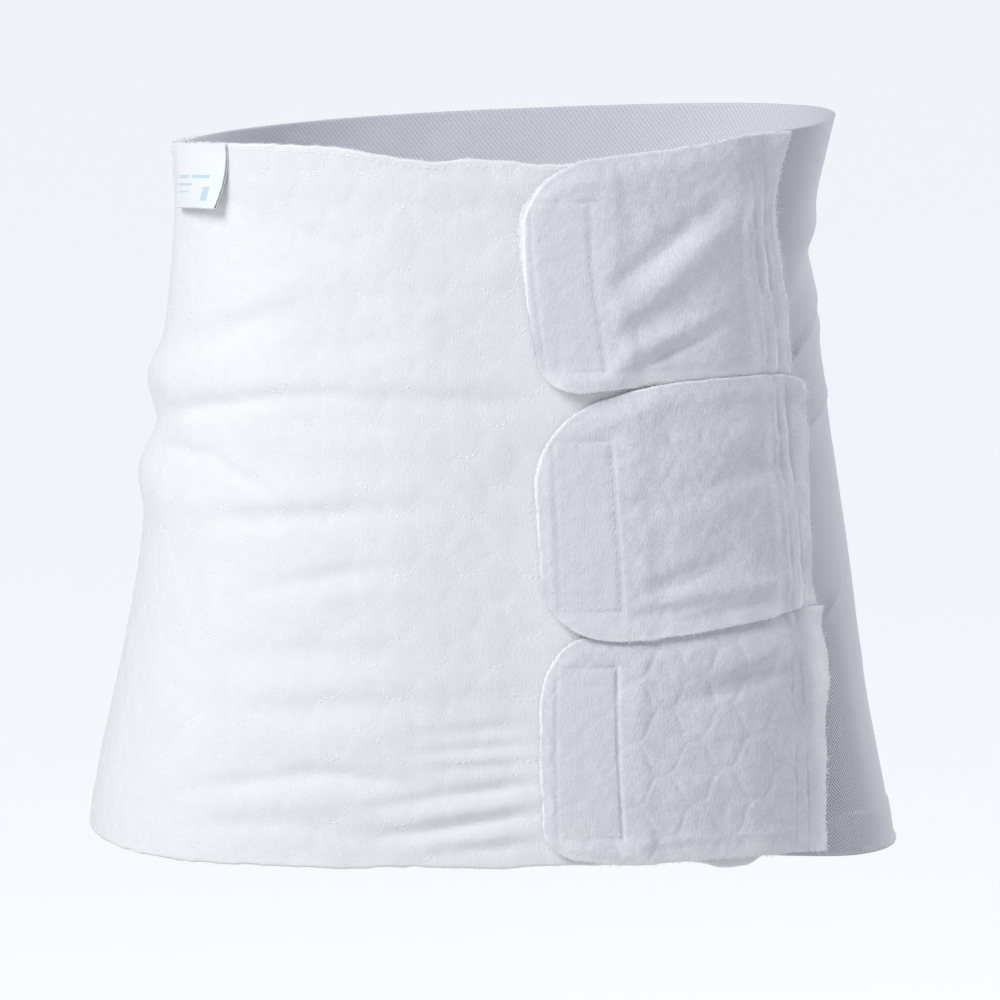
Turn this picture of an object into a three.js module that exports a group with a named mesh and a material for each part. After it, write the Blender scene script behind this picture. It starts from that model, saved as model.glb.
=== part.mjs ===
// Belly band: quilted cloth round the front, stretch net round the back, three tabs that close it.
// Millimetres, +Z up, front towards -Y, +X towards the wearer's left. The origin is the middle of
// the torso space, at the waist. A "turn" is an angle in degrees round +Z, from the front towards +X.
import * as THREE from "three";

// Driving sizes
const CLOTH = 2.6; // thickness of the quilted pile cloth
const NET = 1.0; // thickness of the stretch net
const HOOK_TAPE = 1.4; // thickness of the hook tape under the tabs
const LABEL_TAPE = 0.5; // thickness of the label's tape
const LAYER_GAP = 0.4; // clearance between two layers that lie on each other
const HEM_HEIGHT = 16; // folded hem along the net's lower edge
const HEM_FOLD = 0.8; // what the fold adds to the net's thickness
const OVAL_FILL = 0.03; // how far the torso's oval is filled out towards its corners

// Where the pieces start and end round the body, in degrees
const SEAM = 246; // the front panel's sewn end, on the wearer's right, behind the side
const SEAM_LAP = 10; // the net reaches this far under the front panel there
const SEAM_SETTLE = 8; // past the lap the front panel comes down to the body over this turn
const FOLDS_FLATTEN = [-6, 2]; // the front panel's folds are pressed flat under the tabs' ends
const TAB_SETTLE = 4; // a tab steps down to the next layer over this turn

// Mesh fineness of each wall: columns round the body and rows up it
const FRONT_GRID = { columns: 36, rows: 34 };
const BACK_GRID = { columns: 36, rows: 14 };
const TAB_GRID = { columns: 14, rows: 12 };
const HOOK_GRID = { columns: 5, rows: 6 };
const LABEL_GRID = { columns: 6, rows: 20 };

// Sections of the torso space: half width, sideways lean, depth to the front and to the back
const SECTIONS = [
  { z: -135, halfWidth: 154.2, lean: 0.3, front: 116, back: 116 },
  { z: -116, halfWidth: 151.5, lean: -0.2, front: 115, back: 117 },
  { z: -78, halfWidth: 144.2, lean: -0.2, front: 110, back: 113 },
  { z: -39, halfWidth: 137.2, lean: 1.2, front: 104, back: 103 },
  { z: -5, halfWidth: 132.5, lean: 1.5, front: 99, back: 94 },
  { z: 31, halfWidth: 127.6, lean: 1.1, front: 94, back: 89 },
  { z: 62, halfWidth: 124.2, lean: 0.6, front: 90, back: 87 },
  { z: 97, halfWidth: 120.8, lean: 1.0, front: 87, back: 89 },
  { z: 116, halfWidth: 121.0, lean: 2.3, front: 86, back: 91 },
  { z: 136, halfWidth: 123.5, lean: 3.7, front: 86, back: 94 },
  { z: 150, halfWidth: 126.2, lean: 4.3, front: 87, back: 96 },
];

// Height of the front panel's edges
const FRONT_EDGES = [
  { turn: -115, bottom: -123.0, top: 137.0 },
  { turn: -90, bottom: -124.2, top: 138.0 },
  { turn: -57, bottom: -126.4, top: 142.0 },
  { turn: -40, bottom: -126.8, top: 142.8 },
  { turn: -28, bottom: -126.2, top: 142.2 },
  { turn: -14, bottom: -125.4, top: 138.0 },
  { turn: 0, bottom: -125.6, top: 137.6 },
  { turn: 12, bottom: -124.2, top: 136.6 },
  { turn: 26, bottom: -123.6, top: 139.0 },
  { turn: 34, bottom: -127.2, top: 141.0 },
  { turn: 45, bottom: -126.0, top: 142.0 },
];

// Height of the net's edges
const BACK_EDGES = [
  { turn: 40, bottom: -124.0, top: 145.5 },
  { turn: 62, bottom: -128.8, top: 147.4 },
  { turn: 90, bottom: -131.0, top: 149.4 },
  { turn: 135, bottom: -129.0, top: 148.0 },
  { turn: 180, bottom: -126.0, top: 144.0 },
  { turn: 225, bottom: -124.0, top: 139.0 },
  { turn: 258, bottom: -123.0, top: 136.6 },
];

// The closure on the wearer's left: turns of the front panel's hidden end, the net's edge and the
// tabs' raw edge, by height
const CLOSURE = [
  { z: -124, frontEnd: 38.5, netEdge: 41.0, rawEdge: 50.8 },
  { z: -79, frontEnd: 40.5, netEdge: 43.5, rawEdge: 55.6 },
  { z: -36, frontEnd: 42.5, netEdge: 46.0, rawEdge: 57.8 },
  { z: 10, frontEnd: 44.0, netEdge: 47.5, rawEdge: 59.8 },
  { z: 54, frontEnd: 44.0, netEdge: 47.5, rawEdge: 59.2 },
  { z: 92, frontEnd: 42.5, netEdge: 46.0, rawEdge: 58.0 },
  { z: 121, frontEnd: 40.5, netEdge: 43.5, rawEdge: 53.6 },
  { z: 147, frontEnd: 38.0, netEdge: 41.0, rawEdge: 54.4 },
];

// Each tab: its tip's turn and how far that turn grows from the top corner to the lower one, the
// reach (degrees) and drop (mm) of its rounded corners, the heights of its edges, and its hook tape
const TABS = [
  {
    name: "upper",
    tip: 4.8,
    slant: 3.4,
    topCorner: { reach: 12, drop: 24 },
    bottomCorner: { reach: 6.5, drop: 14 },
    edges: [
      { turn: 4, bottom: 51.0, top: 136.6 },
      { turn: 18, bottom: 51.8, top: 139.5 },
      { turn: 36, bottom: 54.6, top: 144.3 },
      { turn: 60, bottom: 54.8, top: 147.2 },
    ],
    hook: { middle: 11.0, slant: 3.2, bottom: 59, top: 122, width: 9.2 },
    folds: [
      { turn: 31, z: 102.5, rise: 1.3, reach: 17, width: 9, lift: 1.9 },
      { turn: 31, z: 64, rise: 0.9, reach: 13, width: 6, lift: 1.0 },
    ],
  },
  {
    name: "middle",
    tip: 6.0,
    slant: 0.8,
    topCorner: { reach: 12, drop: 30 },
    bottomCorner: { reach: 9, drop: 20 },
    edges: [
      { turn: 4, bottom: -39.0, top: 45.6 },
      { turn: 18, bottom: -41.0, top: 48.6 },
      { turn: 36, bottom: -37.0, top: 53.4 },
      { turn: 60, bottom: -31.8, top: 51.8 },
    ],
    hook: { middle: 13.2, slant: 0.4, bottom: -30, top: 33, width: 8.8 },
    folds: [
      { turn: 33, z: -27.5, rise: 0.13, reach: 22, width: 6, lift: 1.3 },
      { turn: 39, z: 24, rise: 0.4, reach: 15, width: 7, lift: 1.0 },
    ],
  },
  {
    name: "lower",
    tip: 6.4,
    slant: 0.3,
    topCorner: { reach: 6.5, drop: 25 },
    bottomCorner: { reach: 4, drop: 12 },
    edges: [
      { turn: 4, bottom: -120.8, top: -40.6 },
      { turn: 18, bottom: -124.2, top: -42.0 },
      { turn: 36, bottom: -122.9, top: -38.4 },
      { turn: 60, bottom: -124.0, top: -34.6 },
    ],
    hook: { middle: 12.6, slant: -0.2, bottom: -114, top: -51, width: 8.2 },
    folds: [{ turn: 35, z: -47, rise: 0.27, reach: 18, width: 6, lift: 1.3 }],
  },
];

// Folds: a ridge (lift above 0) or a valley through (turn, z), which climbs by rise mm a degree, runs
// for reach degrees to each side and is about width mm to each side of its crest
const FRONT_FOLDS = [
  { turn: -92, z: 49, rise: 0.1, reach: 60, width: 10.5, lift: 4.6 },
  { turn: -92, z: 13, rise: -0.15, reach: 50, width: 12, lift: 4.6 },
  { turn: -26, z: 60, rise: 0.0, reach: 34, width: 9, lift: 1.6 },
  { turn: -56, z: 77, rise: 0.34, reach: 28, width: 8, lift: -1.2 },
  { turn: -34, z: 5, rise: 0.18, reach: 24, width: 7, lift: -1.3 },
  { turn: -26, z: -45, rise: 0.17, reach: 18, width: 7, lift: -1.1 },
  { turn: -25, z: -65, rise: 0.14, reach: 18, width: 7, lift: -1.1 },
  { turn: -25, z: -90.5, rise: 0.12, reach: 19, width: 6, lift: -1.6 },
  { turn: -4, z: -97, rise: 0.25, reach: 14, width: 6, lift: -1.3 },
];
const BACK_FOLDS = [
  { turn: 74, z: 60, rise: 0.8, reach: 16, width: 10, lift: 1.6 },
  { turn: 75, z: 34, rise: 0.25, reach: 14, width: 9, lift: 1.2 },
  { turn: 74, z: -31, rise: 0.1, reach: 14, width: 9, lift: 1.4 },
];

// The label: a tape folded in two, hung from the front panel's upper edge. Its lower end leans to the
// side and swings off the cloth, more at its inner side than at its outer one
const LABEL = { middle: -61.5, width: 21, drop: 24.5, below: 0.6, fold: 0.5 };
const LABEL_HANG = { lean: -2.2, outerSwing: 0.8, innerSwing: 4.2 };

const FINISH = {
  pile: { color: 0xeef0f5, roughness: 0.95, metalness: 0 },
  net: { color: 0xd9dde6, roughness: 0.8, metalness: 0 },
  hook: { color: 0xe6e8ee, roughness: 0.7, metalness: 0 },
  label: { color: 0xf4f6f8, roughness: 0.5, metalness: 0 },
};

const { clamp, degToRad, lerp, smoothstep } = THREE.MathUtils;

/** Value of a table's column at a place, on a smooth curve through its rows. */
function along(table, by, column, place) {
  const last = table.length - 1;
  let i = 0;
  while (i < last - 1 && place > table[i + 1][by]) i++;
  const slope = (k) => {
    const before = table[Math.max(k - 1, 0)];
    const after = table[Math.min(k + 1, last)];
    return (after[column] - before[column]) / (after[by] - before[by]);
  };
  const span = table[i + 1][by] - table[i][by];
  const t = clamp((place - table[i][by]) / span, 0, 1);
  const ease = t * t * (3 - 2 * t);
  return (
    lerp(table[i][column], table[i + 1][column], ease) +
    span * t * (1 - t) * ((1 - t) * slope(i) - t * slope(i + 1))
  );
}

/** Point of the torso's outline at one height. */
function torsoPoint(turn, z) {
  const angle = degToRad(turn);
  const depth = along(SECTIONS, "z", Math.cos(angle) > 0 ? "front" : "back", z);
  const across = (Math.sin(angle) + OVAL_FILL * Math.sin(3 * angle)) / (1 - OVAL_FILL);
  const ahead = (Math.cos(angle) - OVAL_FILL * Math.cos(3 * angle)) / (1 - OVAL_FILL);
  const x = along(SECTIONS, "z", "lean", z) + along(SECTIONS, "z", "halfWidth", z) * across;
  return new THREE.Vector2(x, -depth * ahead);
}

/** Point that lies `out` off the torso, square to its outline. */
function onBody(turn, z, out) {
  const step = 0.05;
  const point = torsoPoint(turn, z);
  const tangent = torsoPoint(turn + step, z).sub(torsoPoint(turn - step, z)).normalize();
  return new THREE.Vector3(point.x + tangent.y * out, point.y - tangent.x * out, z);
}

/** How far a piece's folds lift it off the body at one place. */
function foldLift(folds, turn, z) {
  let lift = 0;
  for (const fold of folds) {
    const run = (turn - fold.turn) / fold.reach;
    const off = (z - fold.z - fold.rise * (turn - fold.turn)) / fold.width;
    if (Math.abs(run) < 1) lift += fold.lift * (1 - run * run) ** 2 * Math.exp(-off * off);
  }
  return lift;
}

/** Closed wall whose place(u, v, w) gives the point at fractions round, up and through it. */
function wall({ columns, rows }, place) {
  const geometry = new THREE.BoxGeometry(1, 1, 1, columns, rows, 1).translate(0.5, 0.5, 0.5);
  const position = geometry.attributes.position;
  for (let i = 0; i < position.count; i++) {
    const point = place(position.getX(i), position.getY(i), position.getZ(i));
    position.setXYZ(i, point.x, point.y, point.z);
  }
  geometry.computeVertexNormals();
  return geometry;
}

/** The quilted panel over the belly, from its seam to its end under the tabs. */
function frontPanel(u, v, w) {
  const start = SEAM - 360;
  const height = lerp(CLOSURE[0].z, CLOSURE[CLOSURE.length - 1].z, v);
  const turn = lerp(start, along(CLOSURE, "z", "frontEnd", height), u);
  const bottom = along(FRONT_EDGES, "turn", "bottom", turn);
  const z = lerp(bottom, along(FRONT_EDGES, "turn", "top", turn), v);
  const lapEnd = start + SEAM_LAP + 2;
  const lap = (NET + LAYER_GAP) * (1 - smoothstep(turn, lapEnd, lapEnd + SEAM_SETTLE));
  const folds = foldLift(FRONT_FOLDS, turn, z) * (1 - smoothstep(turn, ...FOLDS_FLATTEN));
  const freed = smoothstep(turn, start + SEAM_LAP, start + SEAM_LAP + SEAM_SETTLE);
  return onBody(turn, z, lap + folds * freed + w * CLOTH);
}

/** The net round the back, with its hem, from under the tabs to under the front panel's seam. */
function backPanel(u, v, w) {
  const height = lerp(CLOSURE[0].z, CLOSURE[CLOSURE.length - 1].z, v);
  const turn = lerp(along(CLOSURE, "z", "netEdge", height), SEAM + SEAM_LAP, u);
  const bottom = along(BACK_EDGES, "turn", "bottom", turn);
  const top = along(BACK_EDGES, "turn", "top", turn);
  const rows = BACK_GRID.rows;
  const hemRows = [0, HEM_HEIGHT - 1, HEM_HEIGHT];
  const row = Math.round(v * rows);
  const z = row < hemRows.length
    ? bottom + hemRows[row]
    : lerp(bottom + HEM_HEIGHT, top, (row - hemRows.length + 1) / (rows - hemRows.length + 1));
  const free = smoothstep(turn, 62, 70) * (1 - smoothstep(turn, SEAM - 12, SEAM - 4));
  const hem = row < hemRows.length - 1 ? HEM_FOLD * free : 0;
  const folds = foldLift(BACK_FOLDS, turn, z) * smoothstep(turn, 60, 66);
  return onBody(turn, z, folds + w * (NET + hem));
}

/** One corner's inset at a distance from the tab's tip, as a quarter ellipse. */
function cornerInset({ reach, drop }, fromTip) {
  const left = clamp(1 - fromTip / reach, 0, 1);
  return drop * (1 - Math.sqrt(1 - left * left));
}

/** One quilted tab, from its rounded free tip to its raw edge over the net. */
function tabWall(tab) {
  const { hook, edges } = tab;
  const base = edges[1];
  return (u, v, w) => {
    const height = lerp(base.bottom, base.top, v);
    const tip = tab.tip + tab.slant * (0.5 - v);
    const turn = lerp(tip, along(CLOSURE, "z", "rawEdge", height), u ** 1.35);
    const bottom = along(edges, "turn", "bottom", turn) + cornerInset(tab.bottomCorner, turn - tip);
    const top = along(edges, "turn", "top", turn) - cornerInset(tab.topCorner, turn - tip);
    const z = lerp(bottom, top, v);
    const hookEnd = hook.middle + hook.slant * (0.5 - v) + hook.width / 2 + 1.5;
    const frontEnd = along(CLOSURE, "z", "frontEnd", z) + 1;
    const overHook = 1 - smoothstep(turn, hookEnd, hookEnd + TAB_SETTLE);
    const overFront = 1 - smoothstep(turn, frontEnd, frontEnd + TAB_SETTLE);
    const under = lerp(NET, CLOTH, overFront) + (HOOK_TAPE + LAYER_GAP) * overHook;
    const folds = foldLift(tab.folds, turn, z);
    return onBody(turn, z, under + LAYER_GAP + folds + w * CLOTH);
  };
}

/** The flat strip of hook tape between a tab's free end and the front panel. */
function hookStrip({ middle, slant, bottom, top, width }) {
  return (u, v, w) => {
    const turn = middle + slant * (0.5 - v) + width * (u - 0.5);
    return onBody(turn, lerp(bottom, top, v), CLOTH + LAYER_GAP + w * HOOK_TAPE);
  };
}

/** The label's tape: down its back layer, round the fold and up its front layer. */
function labelTape(u, v, w) {
  const upper = LABEL.middle + LABEL.width * (u - 0.5);
  const top = along(FRONT_EDGES, "turn", "top", upper) - LABEL.below;
  const half = LABEL.fold / 2 + LABEL_TAPE;
  const straight = LABEL.drop - half;
  const turnLength = Math.PI * half;
  const run = v * (2 * straight + turnLength);
  const radius = half - (1 - w) * LABEL_TAPE;
  let down = straight;
  let across = -radius;
  if (run < straight) {
    down = run;
  } else if (run > straight + turnLength) {
    down = 2 * straight + turnLength - run;
    across = radius;
  } else {
    const angle = (run - straight) / half;
    down = straight + radius * Math.sin(angle);
    across = -radius * Math.cos(angle);
  }
  const hang = (down / LABEL.drop) ** 2;
  const swing = lerp(LABEL_HANG.outerSwing, LABEL_HANG.innerSwing, u) * hang;
  const turn = upper + LABEL_HANG.lean * hang;
  return onBody(turn, top - down, CLOTH + LAYER_GAP + half + across + swing);
}

/** A named mesh with a material of its own. */
function piece(name, geometry, finish) {
  const mesh = new THREE.Mesh(geometry, new THREE.MeshStandardMaterial(finish));
  mesh.name = name;
  return mesh;
}

const band = new THREE.Group();
band.add(piece("front_panel", wall(FRONT_GRID, frontPanel), FINISH.pile));
band.add(piece("back_panel", wall(BACK_GRID, backPanel), FINISH.net));
for (const tab of TABS) {
  band.add(piece(`${tab.name}_tab`, wall(TAB_GRID, tabWall(tab)), FINISH.pile));
  band.add(piece(`${tab.name}_hook_strip`, wall(HOOK_GRID, hookStrip(tab.hook)), FINISH.hook));
}
band.add(piece("size_label", wall(LABEL_GRID, labelTape), FINISH.label));

export default band;
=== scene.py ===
"""Dress the belly band: quilted front panel, net back, three tabs, hook tapes and label.

Shapes are worked out in millimetres and degrees and put into the meshes in metres. A turn is an
angle round the body, from the front towards the wearer's left (+X). Out is the distance off the
body, square to its outline. Along is the length of that outline from the front's middle.
"""

import logging
import math
from collections.abc import Sequence
from dataclasses import dataclass, field, replace
from enum import Enum

import bpy
import numpy as np
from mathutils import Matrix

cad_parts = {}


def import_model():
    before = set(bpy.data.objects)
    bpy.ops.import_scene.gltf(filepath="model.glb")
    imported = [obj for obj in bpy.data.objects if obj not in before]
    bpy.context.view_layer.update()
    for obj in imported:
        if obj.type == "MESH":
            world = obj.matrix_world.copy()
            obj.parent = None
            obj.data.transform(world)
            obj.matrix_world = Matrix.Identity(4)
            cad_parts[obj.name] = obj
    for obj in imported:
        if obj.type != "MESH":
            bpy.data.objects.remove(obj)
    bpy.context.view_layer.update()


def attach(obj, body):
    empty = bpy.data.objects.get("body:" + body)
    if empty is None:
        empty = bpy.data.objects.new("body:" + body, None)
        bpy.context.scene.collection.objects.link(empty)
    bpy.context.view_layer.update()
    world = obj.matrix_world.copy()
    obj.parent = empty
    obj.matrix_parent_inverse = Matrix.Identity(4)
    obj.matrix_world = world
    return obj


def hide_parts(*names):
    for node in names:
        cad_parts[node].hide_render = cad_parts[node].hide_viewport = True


LOG = logging.getLogger("belly_band")
Array = np.ndarray
Material = bpy.types.Material
Piece = bpy.types.Object
Socket = bpy.types.NodeSocket
Pair = tuple[float, float]
Colour = tuple[float, float, float, float]
MM = 0.001
BODY = "root"
CLOTH_MAP = "cloth"
STITCH_HALF = 0.3
SEAM_PITCH = 3.0
COLUMN_RIM = (0.0, 0.2, 0.5, 0.9)


class Slot(Enum):
    """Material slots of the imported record."""

    PILE = "pile_cloth"
    NET = "stretch_net"
    HOOK = "hook_tape"
    LABEL = "label_tape"


class Edge(Enum):
    """The four edges of a cloth wall's grid."""

    BOTTOM = "bottom"
    TOP = "top"
    START = "start"
    END = "end"


def ease(value: Array, low: Array | float, high: Array | float) -> Array:
    """Smooth step from 0 at low to 1 at high.

    Args:
        value: Where the step is read.
        low: Where it starts to rise.
        high: Where it is full.

    Returns:
        The step, 3t^2 - 2t^3 of the share t of the way from low to high.
    """
    share = np.clip((value - low) / (np.asarray(high) - low), 0.0, 1.0)
    return share * share * (3.0 - 2.0 * share)


def mix(start: Array | float, end: Array | float, share: Array) -> Array:
    """Straight blend from start to end."""
    return start + (np.asarray(end) - start) * share


def bell(offset: Array, width: float) -> Array:
    """Bell curve: 1 on its middle, e to the power of minus 1 at its width."""
    return np.exp(-np.square(offset / width))


def spaced(length: float, step: float, rim: Sequence[float] = (0.0, 0.35, 0.9, 1.7)) -> Array:
    """Shares from 0 to 1 that are even in the middle and close together at both rims.

    Args:
        length: Length that the shares divide, in mm.
        step: Spacing in the middle, in mm.
        rim: Distances of the first shares from either rim, in mm.

    Returns:
        The shares, in rising order.
    """
    start = np.array(rim) / length
    count = max(int(round((length - 2 * rim[-1]) / step)), 2)
    middle = np.linspace(start[-1], 1.0 - start[-1], count + 1)
    return np.concatenate([start[:-1], middle, 1.0 - start[-2::-1]])


@dataclass(frozen=True)
class Table:
    """Sizes against a place, read on a smooth curve through a few rows."""

    rows: tuple[tuple[float, ...], ...]
    columns: tuple[str, ...] = ("turn", "z")

    def read(self, column: str, place: Array | float) -> Array:
        """Read one column.

        Args:
            column: Name of the column.
            place: Where it is read, in the units of the first column.

        Returns:
            The column on a cubic curve whose slope at a row comes from the rows beside it.
        """
        data = np.array(self.rows, dtype=float)
        at = data[:, 0]
        value = data[:, self.columns.index(column)]
        before = np.maximum(np.arange(len(at)) - 1, 0)
        after = np.minimum(np.arange(len(at)) + 1, len(at) - 1)
        slope = (value[after] - value[before]) / (at[after] - at[before])
        place = np.asarray(place, dtype=float)
        i = np.clip(np.searchsorted(at, place) - 1, 0, len(at) - 2)
        span = at[i + 1] - at[i]
        share = np.clip((place - at[i]) / span, 0.0, 1.0)
        bend = span * share * (1.0 - share) * ((1.0 - share) * slope[i] - share * slope[i + 1])
        return mix(value[i], value[i + 1], share * share * (3.0 - 2.0 * share)) + bend


@dataclass(frozen=True)
class Layers:
    """Thickness of the layers, and the clearance between two that lie on each other, in mm."""

    cloth: float = 2.6
    net: float = 1.0
    hook: float = 1.4
    label: float = 0.4
    gap: float = 0.4


@dataclass(frozen=True)
class BodyForm:
    """The space that the band closes round: at each height an oval, filled out at its corners."""

    fill: float = 0.03
    sections: Table = Table(
        (
            (-135, 154.2, 0.3, 116, 116), (-116, 151.5, -0.2, 115, 117), (-78, 144.2, -0.2, 110, 113),
            (-39, 137.2, 1.2, 104, 103), (-5, 132.5, 1.5, 99, 94), (31, 127.6, 1.1, 94, 89),
            (62, 124.2, 0.6, 90, 87), (97, 120.8, 1, 87, 89), (116, 121, 2.3, 86, 91),
            (136, 123.5, 3.7, 86, 94), (150, 126.2, 4.3, 87, 96),
        ),
        ("z", "half_width", "lean", "front", "back"),
    )

    def depth(self, turn: Array, z: Array) -> Array:
        """Depth of the oval, to the front or to the back."""
        ahead = np.cos(np.radians(turn)) > 0
        return np.where(ahead, self.sections.read("front", z), self.sections.read("back", z))

    def outline(self, turn: Array, z: Array) -> tuple[Array, Array]:
        """Point of the outline: width by sin t + k sin 3t, depth by cos t - k cos 3t.

        Args:
            turn: Turns.
            z: Heights.

        Returns:
            The points' x and y.
        """
        angle = np.radians(turn)
        across = (np.sin(angle) + self.fill * np.sin(3 * angle)) / (1 - self.fill)
        ahead = (np.cos(angle) - self.fill * np.cos(3 * angle)) / (1 - self.fill)
        x = self.sections.read("lean", z) + self.sections.read("half_width", z) * across
        return x, -self.depth(turn, z) * ahead

    def pace(self, turn: Array, z: Array) -> tuple[Array, Array]:
        """How fast the outline runs at a turn.

        Args:
            turn: Turns.
            z: Heights.

        Returns:
            The paces in x and y, in mm a degree.
        """
        angle = np.radians(turn)
        across = (np.cos(angle) + 3 * self.fill * np.cos(3 * angle)) / (1 - self.fill)
        ahead = (np.sin(angle) - 3 * self.fill * np.sin(3 * angle)) / (1 - self.fill)
        x = self.sections.read("half_width", z) * across
        return x * np.radians(1.0), self.depth(turn, z) * ahead * np.radians(1.0)

    def speed(self, turn: Array, z: Array) -> Array:
        """Length of outline for each degree of turn."""
        return np.hypot(*self.pace(turn, z))

    def run(self, start: Array, end: Array, z: Array) -> Array:
        """Length of the outline between two turns, summed at Gauss points.

        Args:
            start: Turns where the lengths start.
            end: Turns where they end.
            z: Heights.

        Returns:
            The lengths, below 0 where the end comes first.
        """
        nodes, weights = np.polynomial.legendre.leggauss(8)
        total = np.zeros(np.broadcast(end, z).shape)
        for node, weight in zip(nodes, weights):
            total += weight * self.speed(mix(start, end, (1 + node) / 2), z)
        return total * (end - start) / 2

    def along(self, turn: Array, z: Array) -> Array:
        """Length of the outline from the front's middle: up to the side, then past it."""
        side = np.clip(turn, -90.0, 90.0)
        return self.run(0.0 * side, side, z) + self.run(side, turn, z)

    def turn_at(self, along: Array, z: Array) -> Array:
        """Turn at a length along the outline, by Newton's steps.

        Args:
            along: Lengths from the front's middle.
            z: Heights.

        Returns:
            The turns.
        """
        turn = along / self.speed(np.zeros_like(along), z)
        for _ in range(6):
            turn = turn - (self.along(turn, z) - along) / self.speed(turn, z)
        return turn

    def normal(self, turn: Array, z: Array) -> Array:
        """Direction square to the outline, away from the body.

        Args:
            turn: Turns.
            z: Heights.

        Returns:
            The directions, of length 1.
        """
        x, y = self.pace(turn, z)
        speed = np.hypot(x, y)
        return np.stack([y / speed, -x / speed, np.zeros_like(speed)], axis=-1)

    def place(self, turn: Array, z: Array, out: Array) -> Array:
        """Points at a turn and height, and a distance off the body.

        Args:
            turn: Turns.
            z: Heights.
            out: Distances off the body.

        Returns:
            The outline's point plus out times its normal, with three numbers in the last axis.
        """
        turn, z, out = np.broadcast_arrays(turn, z, out)
        x, y = self.outline(turn, z)
        return np.stack([x, y, z], axis=-1) + out[..., None] * self.normal(turn, z)


@dataclass(frozen=True)
class Fold:
    """A ridge, or a valley if its lift is below 0, that runs across the cloth.

    Its middle is at a turn and a height z. It rises so many mm a degree, reaches so many degrees to
    either side, and has a width and a lift in mm.
    """

    turn: float
    z: float
    rise: float
    reach: float
    width: float
    lift: float

    def at(self, turn: Array, z: Array) -> Array:
        """Lift at a place: a bell curve across the crest that fades as (1 - r^2)^2 along it.

        Args:
            turn: Turns.
            z: Heights.

        Returns:
            The lifts.
        """
        run = np.clip((turn - self.turn) / self.reach, -1.0, 1.0)
        off = z - self.z - self.rise * (turn - self.turn)
        return self.lift * np.square(1.0 - run * run) * bell(off, self.width)


def fold_lift(folds: Sequence[Fold], turn: Array, z: Array) -> Array:
    """Sum of the folds' lifts."""
    return sum((fold.at(turn, z) for fold in folds), np.zeros(np.broadcast(turn, z).shape))


@dataclass(frozen=True)
class Unevenness:
    """Smooth seeded noise: random heights on a lattice of one size, eased from point to point."""

    seed: int
    size: float
    lattice: int = 64

    def at(self, along: Array, up: Array) -> Array:
        """Noise at a place on the cloth.

        Args:
            along: Places along the cloth.
            up: Places up it.

        Returns:
            The noise, from -1 to 1.
        """
        heights = np.random.default_rng(self.seed).uniform(-1, 1, (self.lattice, self.lattice))
        x, y = along / self.size, up / self.size
        column, row = np.floor(x).astype(int), np.floor(y).astype(int)
        across, rise = ease(x - column, 0, 1), ease(y - row, 0, 1)
        column, row = column % self.lattice, row % self.lattice
        next_column, next_row = (column + 1) % self.lattice, (row + 1) % self.lattice
        low = mix(heights[row, column], heights[row, next_column], across)
        high = mix(heights[next_row, column], heights[next_row, next_column], across)
        return mix(low, high, rise)


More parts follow.
